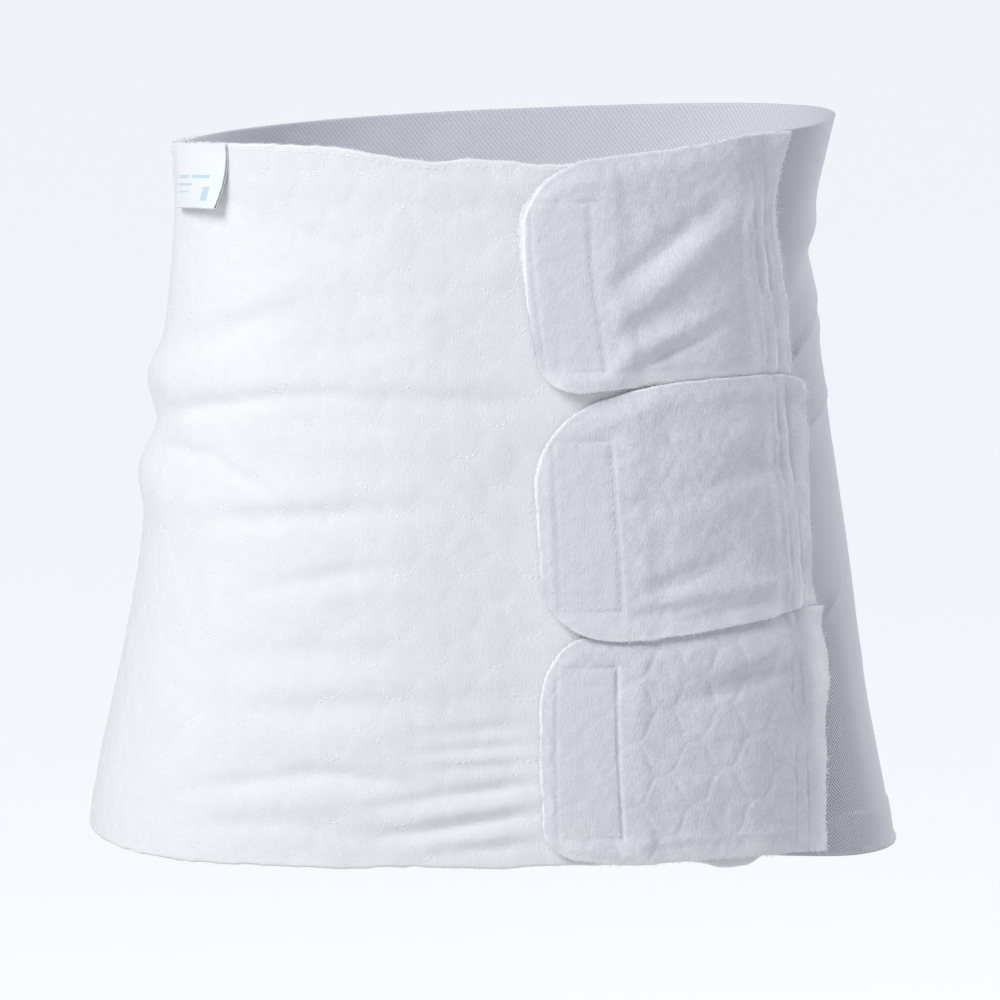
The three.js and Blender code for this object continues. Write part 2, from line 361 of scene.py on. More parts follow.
@dataclass(frozen=True)
class Quilting:
    """Stitched wave lines that swing against each other, so that they enclose rounded diamonds.

    Lengths are in mm. Shift and rise place the pattern on the cloth, tilt turns it by degrees, and
    warp lets it wander. The shares say how many stitches show: in a trough whose garland is bare,
    how many troughs have one, and how many show elsewhere.
    """

    period: float = 24.0
    spacing: float = 11.5
    swing: float = 5.5
    shift: float = 1.2
    rise: float = 10.95
    tilt: float = 0.0
    groove: float = 0.13
    groove_width: float = 1.1
    puff: float = 0.075
    crown: float = 3.4
    pitch: float = 2.5
    roundness: float = 1.5
    trough_share: float = 0.9
    garland_share: float = 0.75
    other_share: float = 0.1
    warp: float = 1.8
    warp_size: float = 31.0
    warp_seeds: tuple[int, int] = (31, 32)
    run_step: float = 0.25
    trough_depth: float = 0.3

    def drift(self, along: Array, up: Array) -> tuple[Array, Array]:
        """How far the pattern has wandered at a place, along and up."""
        noises = [Unevenness(seed, self.warp_size).at(along, up) for seed in self.warp_seeds]
        return self.warp * noises[0], self.warp * noises[1]

    def cloth_place(self, along: Array, up: Array) -> tuple[Array, Array]:
        """Turn a place on the cloth into the pattern's own directions.

        Args:
            along: Places along the cloth.
            up: Places up it.

        Returns:
            The places along and up the pattern.
        """
        cos, sin = math.cos(math.radians(self.tilt)), math.sin(math.radians(self.tilt))
        along_drift, up_drift = self.drift(along, up)
        along, up = along - along_drift, up - up_drift
        return along * cos + up * sin - self.shift, up * cos - along * sin - self.rise

    def wave(self, number: Array, along: Array) -> tuple[Array, Array]:
        """Height and slope of one line: even lines swing as tanh(r cos t), odd lines against it.

        Args:
            number: Number of the line.
            along: Places along the pattern.

        Returns:
            The heights and the slopes.
        """
        side = 1 - 2 * (np.asarray(number) % 2)
        angle = 2 * np.pi * along / self.period
        bent = np.tanh(self.roundness * np.cos(angle))
        scale = side * self.swing / math.tanh(self.roundness)
        slope = -scale * self.roundness * (1 - bent * bent) * 2 * np.pi / self.period * np.sin(angle)
        return number * self.spacing + scale * bent, slope

    def distance(self, along: Array, up: Array) -> Array:
        """Distance to the nearest stitched line, measured square to it.

        Args:
            along: Places along the cloth.
            up: Places up it.

        Returns:
            The distances.
        """
        along, up = self.cloth_place(along, up)
        nearest = np.full(np.broadcast(along, up).shape, np.inf)
        for step in (-1, 0, 1):
            height, slope = self.wave(np.round(up / self.spacing) + step, along)
            nearest = np.minimum(nearest, np.abs(up - height) / np.sqrt(1 + slope * slope))
        return nearest

    def relief(self, along: Array, up: Array) -> Array:
        """Groove along each line and a crown between the lines."""
        off = self.distance(along, up)
        return self.puff * (1 - bell(off, self.crown)) - self.groove * bell(off, self.groove_width)

    def stitch_places(
        self, along: Pair, up: Pair, seed: int
    ) -> tuple[Array, Array]:
        """Middles of the stitches that the pile leaves bare, most of them in the troughs of the waves.

        Args:
            along: Start and end of the stretch of cloth along the outline.
            up: Its lowest and highest height.
            seed: Seed of the draw.

        Returns:
            The stitches' places along and up, as pairs of points just before and after each middle.
        """
        corners = self.cloth_place(np.array([*along, *along]), np.array([up[0], up[0], up[1], up[1]]))
        run = np.arange(corners[0].min(), corners[0].max(), self.run_step)
        cos, sin = math.cos(math.radians(self.tilt)), math.sin(math.radians(self.tilt))
        places_along, places_up = [], []
        draw = np.random.default_rng(seed)
        first = int(corners[1].min() / self.spacing) - 1
        last = int(corners[1].max() / self.spacing) + 2
        for number in range(first, last):
            height, slope = self.wave(np.array(number), run)
            steps = self.run_step * np.sqrt(1 + slope[1:] ** 2)
            length = np.concatenate([[0.0], np.cumsum(steps)])
            middle = np.arange(self.pitch / 2, length[-1], self.pitch)
            fall = number * self.spacing - np.interp(middle, length, height)
            trough = np.interp(middle, length, run) / self.period - 0.5 * (1 - number % 2)
            trough = np.round(trough).astype(int)
            trough -= trough.min()
            bare = draw.uniform(size=trough.max() + 1) < self.garland_share
            in_trough = fall > self.trough_depth * self.swing
            share = np.where(in_trough, self.trough_share * bare[trough], self.other_share)
            shown = draw.uniform(size=len(middle)) < share
            middle = middle[shown]
            ends = np.stack([middle - STITCH_HALF, middle + STITCH_HALF], axis=-1)
            x = np.interp(ends, length, run) + self.shift
            y = np.interp(ends, length, height) + self.rise
            x, y = x * cos - y * sin, y * cos + x * sin
            along_drift, up_drift = self.drift(x, y)
            places_along.append(x + along_drift)
            places_up.append(y + up_drift)
        return np.concatenate(places_along), np.concatenate(places_up)


class NodeDesk:
    """Lays out the nodes of one material."""

    def __init__(self, name: str) -> None:
        """Start an empty material with its output.

        Args:
            name: Name of the material.
        """
        self.material = bpy.data.materials.new(name)
        self.material.use_nodes = True
        self.tree = self.material.node_tree
        self.tree.nodes.clear()
        self.output = self.tree.nodes.new("ShaderNodeOutputMaterial")

    def add(self, kind: str, inputs: dict | None = None, **settings: object) -> bpy.types.Node:
        """Add a node.

        Args:
            kind: Type of the node.
            inputs: Value or output socket for each input, by name or number.
            **settings: Properties of the node.

        Returns:
            The node.
        """
        node = self.tree.nodes.new(kind)
        for key, value in settings.items():
            setattr(node, key, value)
        for key, value in (inputs or {}).items():
            if isinstance(value, Socket):
                self.tree.links.new(value, node.inputs[key])
            else:
                node.inputs[key].default_value = value
        return node

    def cloth_map(self, scale: tuple[float, float, float], angle: float = 0.0) -> Socket:
        """Place on the cloth, scaled and turned in its plane.

        Args:
            scale: Factors along, up and out.
            angle: Turn, in degrees.

        Returns:
            Socket of the place.
        """
        place = self.add("ShaderNodeUVMap", uv_map=CLOTH_MAP).outputs["UV"]
        inputs = {"Vector": place, "Rotation": (0, 0, math.radians(angle)), "Scale": scale}
        return self.add("ShaderNodeMapping", inputs).outputs["Vector"]

    def mask(self, name: str) -> Socket:
        """A number that the mesh holds at each of its points."""
        return self.add("ShaderNodeAttribute", attribute_name=name).outputs["Fac"]

    def math(self, operation: str, *values: object) -> Socket:
        """Sum, product or other operation on numbers or sockets."""
        node = self.add("ShaderNodeMath", dict(enumerate(values)), operation=operation)
        return node.outputs["Value"]

    def blend(self, share: object, first: object, second: object) -> Socket:
        """Colour between two colours or sockets."""
        inputs = {0: share, 6: first, 7: second}
        return self.add("ShaderNodeMix", inputs, data_type="RGBA", clamp_factor=True).outputs[2]

    def noise(self, place: Socket, scale: float, detail: float = 2.0) -> Socket:
        """Soft noise from 0 to 1 at a place."""
        inputs = {"Vector": place, "Scale": scale, "Detail": detail}
        return self.add("ShaderNodeTexNoise", inputs).outputs["Fac"]

    def bump(self, height: Socket, strength: float, depth: float, **settings: object) -> Socket:
        """Normal of a surface that rises and falls with a height, to a depth in metres."""
        inputs = {"Strength": strength, "Distance": depth, "Height": height}
        return self.add("ShaderNodeBump", inputs, **settings).outputs["Normal"]

    def finish(self, inputs: dict) -> Material:
        """Join a shader to the output.

        Args:
            inputs: Value or socket for each of its inputs.

        Returns:
            The finished material.
        """
        shader = self.add("ShaderNodeBsdfPrincipled", inputs)
        self.tree.links.new(shader.outputs[0], self.output.inputs["Surface"])
        return self.material


@dataclass(frozen=True)
class PileFinish:
    """Short cotton pile: fine upright ribs over a soft grain, matt, with painted shade in its hollows and
    a painted highlight along raw edges.
    """

    name: str = "pile_cloth"
    light: Colour = (0.885, 0.891, 0.91, 1.0)
    shade: Colour = (0.845, 0.853, 0.878, 1.0)
    pressed: Colour = (0.86, 0.86, 0.89, 1.0)
    # Colour of the painted highlight along edges, over the tabs' flaps and low on the tabs; on the front
    # it also pales the quilting lines.
    raw: Colour = (0.96, 0.965, 0.98, 1.0)
    grain: float = 900.0
    nap: tuple[float, float, float] = (1300.0, 620.0, 1.0)
    patch: float = 45.0
    mottle: float = 210.0
    rib_pitch: float = 1.15
    rib_share: float = 0.08
    # Weight of the bump height in the colour: painted shade in the pile's hollows.
    painted_recess_shade: float = 0.5
    tone_range: Pair = (-0.32, 0.38)
    pressed_share: float = 0.6
    bump: float = 0.32
    bump_depth: float = 0.0005

    def ribs(self, desk: NodeDesk) -> Socket:
        """Upright ribs.

        Args:
            desk: Desk of the material.

        Returns:
            Socket of the ribs, from 0 between two to 1 on the crest.
        """
        place = desk.cloth_map((1 / (self.rib_pitch * MM), 1, 1))
        across = desk.add("ShaderNodeSeparateXYZ", {"Vector": place}).outputs["X"]
        wave = desk.math("COSINE", desk.math("MULTIPLY", across, 2 * math.pi))
        return desk.math("MULTIPLY_ADD", wave, 0.5, 0.5)

    def material(self) -> Material:
        """Make the material.

        Returns:
            The material.
        """
        desk = NodeDesk(self.name)
        place = desk.cloth_map((1, 1, 1))
        grain = desk.noise(place, self.grain, detail=3.0)
        tufts = desk.math("ADD", grain, desk.noise(desk.cloth_map(self.nap), 1.0))
        height = desk.math("MULTIPLY_ADD", self.ribs(desk), self.rib_share, tufts)
        tone = desk.math("ADD", desk.noise(place, self.patch), desk.noise(place, self.mottle))
        # Painted shade: the colour follows the bump height, so the pile's hollows are painted darker.
        tone = desk.math("MULTIPLY_ADD", height, self.painted_recess_shade, tone)
        usual = 1.0 + (1.0 + 0.5 * self.rib_share) * self.painted_recess_shade
        low, high = usual + self.tone_range[0], usual + self.tone_range[1]
        share = desk.add("ShaderNodeMapRange", {0: tone, 1: low, 2: high, 3: 0.0, 4: 1.0})
        colour = desk.blend(share.outputs[0], self.shade, self.light)
        pressed = desk.math("MULTIPLY", desk.mask("pressed"), self.pressed_share)
        colour = desk.blend(pressed, colour, self.pressed)
        # Painted highlight from the raw mask: along edges, over the tabs' flaps and low on the tabs; on
        # the front also the paler quilting lines.
        colour = desk.blend(desk.mask("raw"), colour, self.raw)
        return desk.finish(
            {
                "Base Color": colour,
                "Roughness": 0.95,
                "Specular IOR Level": 0.1,
                "Sheen Weight": 0.2,
                "Sheen Roughness": 0.5,
                "Normal": desk.bump(height, self.bump, self.bump_depth),
            }
        )


@dataclass(frozen=True)
class NetFinish:
    """Fine net: two sets of slanting threads round small holes, which open where it is stretched."""

    name: str = "stretch_net"
    thread: Colour = (0.75, 0.755, 0.81, 1.0)
    hole: Colour = (0.63, 0.635, 0.70, 1.0)
    # Thread beside the tabs: darker, partly for the dark body seen through the net and partly as painted
    # shade.
    see_through_and_shaded_thread: Colour = (0.48, 0.485, 0.555, 1.0)
    stretched_hole: Colour = (0.15, 0.165, 0.23, 1.0)
    pitch: float = 1.15
    slant: float = 38.0
    closed_alpha: float = 0.93
    open_alpha: float = 0.6
    hole_rim: Pair = (0.3, 0.8)
    stretched_share: float = 0.45

    def threads(self, desk: NodeDesk, angle: float) -> Socket:
        """Ridges of one set of threads.

        Args:
            desk: Desk of the material.
            angle: Slant of the threads, in degrees.

        Returns:
            Socket of the ridges, from 0 in a hole to 1 on a thread.
        """
        across = 1.0 / (self.pitch * MM)
        place = desk.cloth_map((across, across, across), angle)
        split = desk.add("ShaderNodeSeparateXYZ", {"Vector": place})
        turn = desk.math("MULTIPLY", split.outputs["Y"], 2 * math.pi)
        return desk.math("MULTIPLY_ADD", desk.math("COSINE", turn), 0.5, 0.5)

    def material(self) -> Material:
        """Make the material.

        Returns:
            The material.
        """
        desk = NodeDesk(self.name)
        stretched = desk.mask("stretched")
        height = desk.math("MAXIMUM", self.threads(desk, self.slant), self.threads(desk, -self.slant))
        low, high = self.hole_rim
        open_net = desk.add("ShaderNodeMapRange", {0: height, 1: low, 2: high, 3: 0.0, 4: 1.0})
        closed = desk.math("MAXIMUM", open_net.outputs[0], desk.mask("doubled"))
        least = desk.math(
            "MULTIPLY_ADD", stretched, self.open_alpha - self.closed_alpha, self.closed_alpha
        )
        alpha = desk.math("MAXIMUM", closed, least)
        hole = desk.blend(stretched, self.hole, self.stretched_hole)
        # Darker thread beside the tabs: partly the dark body seen through, partly painted shade.
        thread = desk.blend(desk.mask("see_through_and_shade"), self.thread, self.see_through_and_shaded_thread)
        taut = desk.math("MULTIPLY", stretched, self.stretched_share)
        thread = desk.blend(taut, thread, self.thread)
        colour = desk.blend(closed, hole, thread)
        return desk.finish(
            {
                "Base Color": colour,
                "Roughness": 0.6,
                "Specular IOR Level": 0.3,
                "Sheen Weight": 0.15,
                "Alpha": alpha,
                "Normal": desk.bump(height, strength=0.3, depth=0.0003),
            }
        )


@dataclass(frozen=True)
class ThreadFinish:
    """Sewing thread with a slight lustre and a fine twist."""

    name: str = "thread"
    light: Colour = (0.98, 0.985, 1.0, 1.0)
    shade: Colour = (0.92, 0.925, 0.95, 1.0)
    twist: float = 1800.0

    def material(self) -> Material:
        """Make the material.

        Returns:
            The material.
        """
        desk = NodeDesk(self.name)
        place = desk.add("ShaderNodeTexCoord").outputs["Object"]
        colour = desk.blend(desk.noise(place, self.twist), self.shade, self.light)
        return desk.finish({"Base Color": colour, "Roughness": 0.6, "Sheen Weight": 0.2})


@dataclass(frozen=True)
class HookFinish:
    """Woven tape with rows of small hooks."""

    name: str = "hook_tape"
    light: Colour = (0.82, 0.83, 0.86, 1.0)
    shade: Colour = (0.62, 0.63, 0.67, 1.0)
    pitch: float = 1.4

    def material(self) -> Material:
        """Make the material.

        Returns:
            The material.
        """
        desk = NodeDesk(self.name)
        across = 1.0 / (self.pitch * MM)
        place = desk.cloth_map((across, across, across))
        inputs = {"Vector": place, "Scale": 1.0, "Randomness": 0.25}
        hooks = desk.add("ShaderNodeTexVoronoi", inputs).outputs["Distance"]
        colour = desk.blend(hooks, self.light, self.shade)
        bump = desk.bump(hooks, strength=0.6, depth=0.0005, invert=True)
        return desk.finish({"Base Color": colour, "Roughness": 0.55, "Normal": bump})


@dataclass(frozen=True)
class LabelFinish:
    """Smooth white tape with plain pale blue bars.

    Each bar has its middle along and up the tape, then half its width and height, in mm.
    """

    name: str = "label_tape"
    light: Colour = (0.93, 0.95, 0.965, 1.0)
    shade: Colour = (0.85, 0.87, 0.9, 1.0)
    ink: Colour = (0.38, 0.66, 0.76, 1.0)
    rib: tuple[float, float, float] = (2600.0, 300.0, 1.0)
    ink_share: float = 0.65
    bars: tuple[tuple[float, float, float, float], ...] = (
        (7.5, 12.2, 5.5, 0.6), (21.0, 12.2, 6.0, 0.6), (9.0, 9.2, 7.0, 0.5), (26.0, 5.6, 1.9, 2.6),
        (8.0, 6.4, 6.0, 0.35),
    )

    def material(self) -> Material:
        """Make the material.

        Returns:
            The material.
        """
        desk = NodeDesk(self.name)
        place = desk.cloth_map((1 / MM, 1 / MM, 1 / MM))
        split = desk.add("ShaderNodeSeparateXYZ", {"Vector": place})
        ink = 0.0
        for along, up, half_width, half_height in self.bars:
            inside = desk.math("COMPARE", split.outputs["X"], along, half_width)
            level = desk.math("COMPARE", split.outputs["Y"], up, half_height)
            ink = desk.math("MULTIPLY_ADD", inside, level, ink)
        rib = desk.noise(desk.cloth_map(self.rib), 1.0)
        colour = desk.blend(rib, self.shade, self.light)
        colour = desk.blend(desk.math("MULTIPLY", ink, self.ink_share), colour, self.ink)
        bump = desk.bump(rib, strength=0.2, depth=0.0002)
        return desk.finish({"Base Color": colour, "Roughness": 0.4, "Normal": bump})


@dataclass(frozen=True)
class FloorFinish:
    """Plain pale floor that glows a little, as painted light, more so far from the band, where no light
    reaches it; its low glow near the band is a painted shadow pool.

    Near and far each have a distance in metres and a glow.
    """

    name: str = "floor"
    colour: Colour = (0.35, 0.35, 0.355, 1.0)
    glow_colour: Colour = (0.94, 0.965, 1.0, 1.0)
    near: Pair = (1.2, 0.26)
    far: Pair = (3.6, 0.84)

    def material(self) -> Material:
        """Make the material.

        Returns:
            The material.
        """
        desk = NodeDesk(self.name)
        place = desk.add("ShaderNodeTexCoord").outputs["Object"]
        away = desk.add("ShaderNodeVectorMath", {0: place}, operation="LENGTH").outputs["Value"]
        # Painted light: the floor's glow lights the band from below and brightens the backdrop; it is
        # lowest near the band, a painted shadow pool.
        glow = desk.add(
            "ShaderNodeMapRange",
            {0: away, 1: self.near[0], 2: self.far[0], 3: self.near[1], 4: self.far[1]},
            interpolation_type="SMOOTHSTEP",
        )
        return desk.finish(
            {
                "Base Color": self.colour,
                "Roughness": 0.9,
                "Specular IOR Level": 0.0,
                "Emission Color": self.glow_colour,
                "Emission Strength": glow.outputs[0],
            }
        )


def put_mesh(
    name: str,
    points: Array,
    faces: Sequence[Array],
    material: Material,
    cloth: Array | None = None,
    masks: dict[str, Array] | None = None,
) -> Piece:
    """Make an object at the origin from points and faces.

    Args:
        name: Name of the piece.
        points: Points in mm, with three numbers in the last axis.
        faces: Arrays of faces, each with one number of corners.
        material: Finish of the piece.
        cloth: Place of each point along and up the cloth, in mm, for the cloth map.
        masks: Numbers that the mesh holds at each point, by name.

    Returns:
        The object, with smooth shading.
    """
    mesh = bpy.data.meshes.new(name)
    corners = [face for group in faces for face in group.tolist()]
    mesh.from_pydata((points.reshape(-1, 3) * MM).tolist(), [], corners)
    if cloth is not None:
        loops = np.empty(len(mesh.loops), dtype=int)
        mesh.loops.foreach_get("vertex_index", loops)
        layer = mesh.uv_layers.new(name=CLOTH_MAP)
        layer.data.foreach_set("uv", (cloth.reshape(-1, 2) * MM)[loops].ravel())
    for mask, values in (masks or {}).items():
        held = mesh.attributes.new(mask, "FLOAT", "POINT")
        held.data.foreach_set("value", np.ascontiguousarray(values.ravel(), dtype=np.float32))
    mesh.shade_smooth()
    mesh.materials.append(material)
    piece = bpy.data.objects.new(name, mesh)
    bpy.context.scene.collection.objects.link(piece)
    return piece


def wall_faces(rows: int, columns: int) -> Array:
    """Quads of a closed wall whose outer grid of points comes first and its inner one second.

    Args:
        rows: Points up the grid.
        columns: Points along it.

    Returns:
        The outer face, the inner face turned round, and the strips that join them at four edges.
    """
    out = np.arange(rows * columns).reshape(rows, columns)
    back = out + rows * columns

    def quads(*corners: Array) -> Array:
        """Stack four arrays of corners."""
        return np.stack(corners, axis=-1).reshape(-1, 4)

    return np.concatenate(
        [
            quads(out[:-1, :-1], out[:-1, 1:], out[1:, 1:], out[1:, :-1]),
            quads(back[:-1, :-1], back[1:, :-1], back[1:, 1:], back[:-1, 1:]),
            quads(back[0, :-1], back[0, 1:], out[0, 1:], out[0, :-1]),
            quads(out[-1, :-1], out[-1, 1:], back[-1, 1:], back[-1, :-1]),
            quads(back[:-1, 0], out[:-1, 0], out[1:, 0], back[1:, 0]),
            quads(out[:-1, -1], back[:-1, -1], back[1:, -1], out[1:, -1]),
        ]
    )


def rods(
    middle: Array,
    along: Array,
    normal: Array,
    stations: Array,
    swell: Array,
    sag: Array,
    corners: int,
    flatness: float = 1.0,
) -> Array:
    """Rings of points round many short rods.

    Args:
        middle: Middle of each rod.
        along: Its direction, of length 1.
        normal: Direction square to it, of length 1.
        stations: Place of each ring along each rod.
        swell: Radius of each ring.
        sag: Shift of each ring along the normal.
        corners: Points of each ring.
        flatness: Height of a ring as a share of its width.

    Returns:
        Points for each rod, ring and corner: middle + station * along + sag * normal, plus the ring.
    """
    side = np.cross(along, normal)
    angle = np.arange(corners) * (2 * np.pi / corners)
    tall = flatness * np.sin(angle)
    ring = np.cos(angle)[:, None] * side[:, None, :] + tall[:, None] * normal[:, None, :]
    spine = middle[:, None, :] + stations[..., None] * along[:, None, :]
    spine = spine + sag[..., None] * normal[:, None, :]
    return spine[:, :, None, :] + swell[..., None, None] * ring[:, None, :, :]


def rod_faces(count: int, rings: int, corners: int) -> list[Array]:
    """Faces of the rods: quads between their rings and a cap on either end.

    Args:
        count: Number of rods.
        rings: Rings of each rod.
        corners: Points of each ring.

    Returns:
        The quads and the caps.
    """
    index = np.arange(count * rings * corners).reshape(count, rings, corners)
    beside = np.roll(index, -1, axis=2)
    quads = np.stack([index[:, :-1], beside[:, :-1], beside[:, 1:], index[:, 1:]], axis=-1)
    caps = np.concatenate([index[:, 0, ::-1], index[:, -1]])
    return [quads.reshape(-1, 4), caps]


@dataclass(frozen=True)
class StitchForm:
    """One stitch: a flat thread whose ends sink into the cloth; its rings are shares of its size."""

    length: float = 1.8
    width: float = 0.52
    flatness: float = 0.45
    corners: int = 6
    stations: tuple[float, ...] = (-0.5, -0.3, 0.3, 0.5)
    swell: tuple[float, ...] = (0.3, 0.5, 0.5, 0.3)
    sag: tuple[float, ...] = (-0.5, 0.0, 0.0, -0.5)


@dataclass
class ClothPiece:
    """A cloth wall on the body, given by where its two faces lie at each place.

    Its thickness is drawn in over the rim's radius, to a least share at the very edge. Rim rows are
    the rows of points that the direction out of an edge is measured over.
    """

    name: str
    body: BodyForm
    layers: Layers
    slot: Slot
    rim_radius: float = 1.3
    least_rim: float = 0.12
    rim_rows: int = 3
    stitch: StitchForm = StitchForm()
    outer: Array = field(init=False, repr=False)
    inner: Array = field(init=False, repr=False)

    def grid(self) -> tuple[Array, Array]:
        """Turns and heights of the grid's points."""
        raise NotImplementedError

    def faces_out(self, turn: Array, z: Array) -> tuple[Array, Array]:
        """How far the outer and the inner face lie off the body."""
        raise NotImplementedError

    def edge_distance(self, turn: Array, z: Array) -> Array:
        """Distance from the nearest edge of the cloth."""
        raise NotImplementedError

    def masks(self, turn: Array, z: Array) -> dict[str, Array]:
        """Numbers that the finish reads at each point."""
        raise NotImplementedError

    def inside(self, turn: Array, z: Array, ends: Sequence[Array], edges: Sequence[Array]) -> Array:
        """Distance from the nearest of four edges.

        Args:
            turn: Turns.
            z: Heights.
            ends: Turns where the cloth starts and ends.
            edges: Heights of its lower and upper edge.

        Returns:
            The distances, 0 outside the cloth.
        """
        sides = np.minimum(turn - ends[0], ends[1] - turn) * self.body.speed(turn, z)
        upright = np.minimum(z - edges[0], edges[1] - z)
        return np.maximum(np.minimum(sides, upright), 0.0)

    def build(self, material: Material) -> Piece:
        """Make the wall, with its thickness drawn in to a rounded rim at its edges.

        Args:
            material: Finish of the cloth.

        Returns:
            The piece.
        """
        turn, z = self.grid()
        outer, inner = self.faces_out(turn, z)
        left = np.clip(1 - self.edge_distance(turn, z) / self.rim_radius, 0.0, 1.0)
        share = np.maximum(np.sqrt(1 - left * left), self.least_rim)
        middle, half = (outer + inner) / 2, (outer - inner) / 2 * share
        self.outer = self.body.place(turn, z, middle + half)
        self.inner = self.body.place(turn, z, middle - half)
        cloth = np.stack([self.body.along(turn, z), z], axis=-1)
        masks = {name: np.stack([value, value]) for name, value in self.masks(turn, z).items()}
        points, places = np.stack([self.outer, self.inner]), np.stack([cloth, cloth])
        piece = put_mesh(self.name, points, [wall_faces(*turn.shape)], material, places, masks)
        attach(piece, BODY)
        LOG.info("%s: %d faces", self.name, len(piece.data.polygons))
        return piece

    def rim(self, edge: Edge) -> tuple[Array, Array, Array]:
        """Points along one edge, with the directions out of the edge and out of the cloth.

        Args:
            edge: Which edge.

        Returns:
            The points, the directions away from the cloth in its plane, and its normals.
        """
        middle = (self.outer + self.inner) / 2
        near, far = self.rim_rows, -1 - self.rim_rows
        lines = {
            Edge.BOTTOM: (np.s_[0, :], np.s_[near, :]),
            Edge.TOP: (np.s_[-1, :], np.s_[far, :]),
            Edge.START: (np.s_[:, 0], np.s_[:, near]),
            Edge.END: (np.s_[:, -1], np.s_[:, far]),
        }
        last, before = lines[edge]
        outward = middle[last] - middle[before]
        normal = self.outer[before] - self.inner[before]
        return (
            middle[last],
            outward / np.linalg.norm(outward, axis=-1, keepdims=True),
            normal / np.linalg.norm(normal, axis=-1, keepdims=True),
        )

    def stitches(
        self, name: str, turn: Array, z: Array, material: Material, raised: float = 0.1
    ) -> Piece:
        """Lay short threads on the outer face.

        Args:
            name: Name of the piece.
            turn: Turns just before and just after each stitch's middle.
            z: Heights of the same points.
            material: Finish of the thread.
            raised: How far the thread's middle lies off the cloth.

        Returns:
            The piece, which rides with the cloth.
        """
        form = self.stitch
        ends = self.body.place(turn, z, self.faces_out(turn, z)[0] + raised)
        middle = ends.mean(axis=1)
        along = ends[:, 1] - ends[:, 0]
        along /= np.linalg.norm(along, axis=-1, keepdims=True)
        normal = self.body.normal(turn[:, 0], z[:, 0])
        normal = normal - along * np.sum(normal * along, axis=-1, keepdims=True)
        normal /= np.linalg.norm(normal, axis=-1, keepdims=True)
        count = len(middle)
        stations = np.tile(np.array(form.stations) * form.length, (count, 1))
        swell = np.tile(np.array(form.swell) * form.width, (count, 1))
        sag = np.tile(np.array(form.sag) * form.width, (count, 1))
        points = rods(middle, along, normal, stations, swell, sag, form.corners, form.flatness)
        faces = rod_faces(count, len(form.stations), form.corners)
        piece = put_mesh(name, points, faces, material)
        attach(piece, BODY)
        LOG.info("%s: %d stitches", name, count)
        return piece


@dataclass(frozen=True)
class Fuzz:
    """Loose fibres along raw edges, in mm.

    They start a little inside the rim, anywhere in its depth, and spread about the way out of it.
    Stations, taper and bend say where a fibre's rings lie, how thick they are and how far they sag,
    as shares of its length or radius.
    """

    seed: int
    per_mm: float = 4.0
    length: float = 1.2
    spread: float = 0.55
    radius: float = 0.065
    depth: float = 0.8
    rooted: float = 0.3
    length_spread: float = 0.45
    droop: float = 0.16
    corners: int = 3
    stations: tuple[float, ...] = (0.0, 0.5, 1.0)
    taper: tuple[float, ...] = (1.0, 0.8, 0.35)
    bend: tuple[float, ...] = (0.0, 0.25, 1.0)

    def grow(
        self, name: str, piece: ClothPiece, edges: dict[Edge, float], material: Material
    ) -> Piece:
        """Grow fibres out of a cloth's edges.

        Args:
            name: Name of the fibres' piece.
            piece: The cloth.
            edges: The edges that are raw, each with a factor on the fibres' length.
            material: Finish of the fibres.

        Returns:
            The piece: bent rods that start in the rim, with lengths of a log-normal spread.
        """
        draw = np.random.default_rng(self.seed)
        roots, ways, normals, lengths = [], [], [], []
        for edge, factor in edges.items():
            point, outward, normal = piece.rim(edge)
            step = np.linalg.norm(np.diff(point, axis=0), axis=-1)
            run = np.concatenate([[0.0], np.cumsum(step)])
            place = np.sort(draw.uniform(0, run[-1], int(run[-1] * self.per_mm)))

            def pick(values: Array) -> Array:
                """Values at the fibres' places along the rim."""
                return np.stack([np.interp(place, run, values[:, axis]) for axis in range(3)], axis=-1)

            tangent = np.gradient(point, axis=0)
            tangent /= np.linalg.norm(tangent, axis=-1, keepdims=True)
            way = pick(outward) + self.spread * (
                draw.normal(size=(len(place), 1)) * pick(tangent)
                + draw.normal(size=(len(place), 1)) * pick(normal)
            )
            depth = draw.uniform(-self.depth, self.depth, (len(place), 1))
            roots.append(pick(point) + depth * pick(normal) - self.rooted * pick(outward))
            ways.append(way / np.linalg.norm(way, axis=-1, keepdims=True))
            normals.append(pick(normal))
            grown = draw.lognormal(0.0, self.length_spread, len(place))
            lengths.append(self.length * factor * grown)
        root, way = np.concatenate(roots), np.concatenate(ways)
        normal, length = np.concatenate(normals), np.concatenate(lengths)
        normal = normal - way * np.sum(normal * way, axis=-1, keepdims=True)
        normal /= np.linalg.norm(normal, axis=-1, keepdims=True)
        stations = length[:, None] * np.array(self.stations)
        swell = np.tile(np.array(self.taper) * self.radius, (len(root), 1))
        sag = length[:, None] * draw.normal(0, self.droop, (len(root), 1)) * np.array(self.bend)
        points = rods(root, way, normal, stations, swell, sag, self.corners)
        faces = rod_faces(len(root), len(self.stations), self.corners)
        fibres = put_mesh(name, points, faces, material)
        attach(fibres, BODY)
        LOG.info("%s: %d fibres", name, len(root))
        return fibres


CLOSURE = Table(
    (
        (-124, 38.5, 41), (-79, 40.5, 43.5), (-36, 42.5, 46), (10, 44, 47.5), (54, 44, 47.5),
        (92, 42.5, 46), (121, 40.5, 43.5), (147, 38, 41),
    ),
    ("z", "front_end", "net_edge"),
)


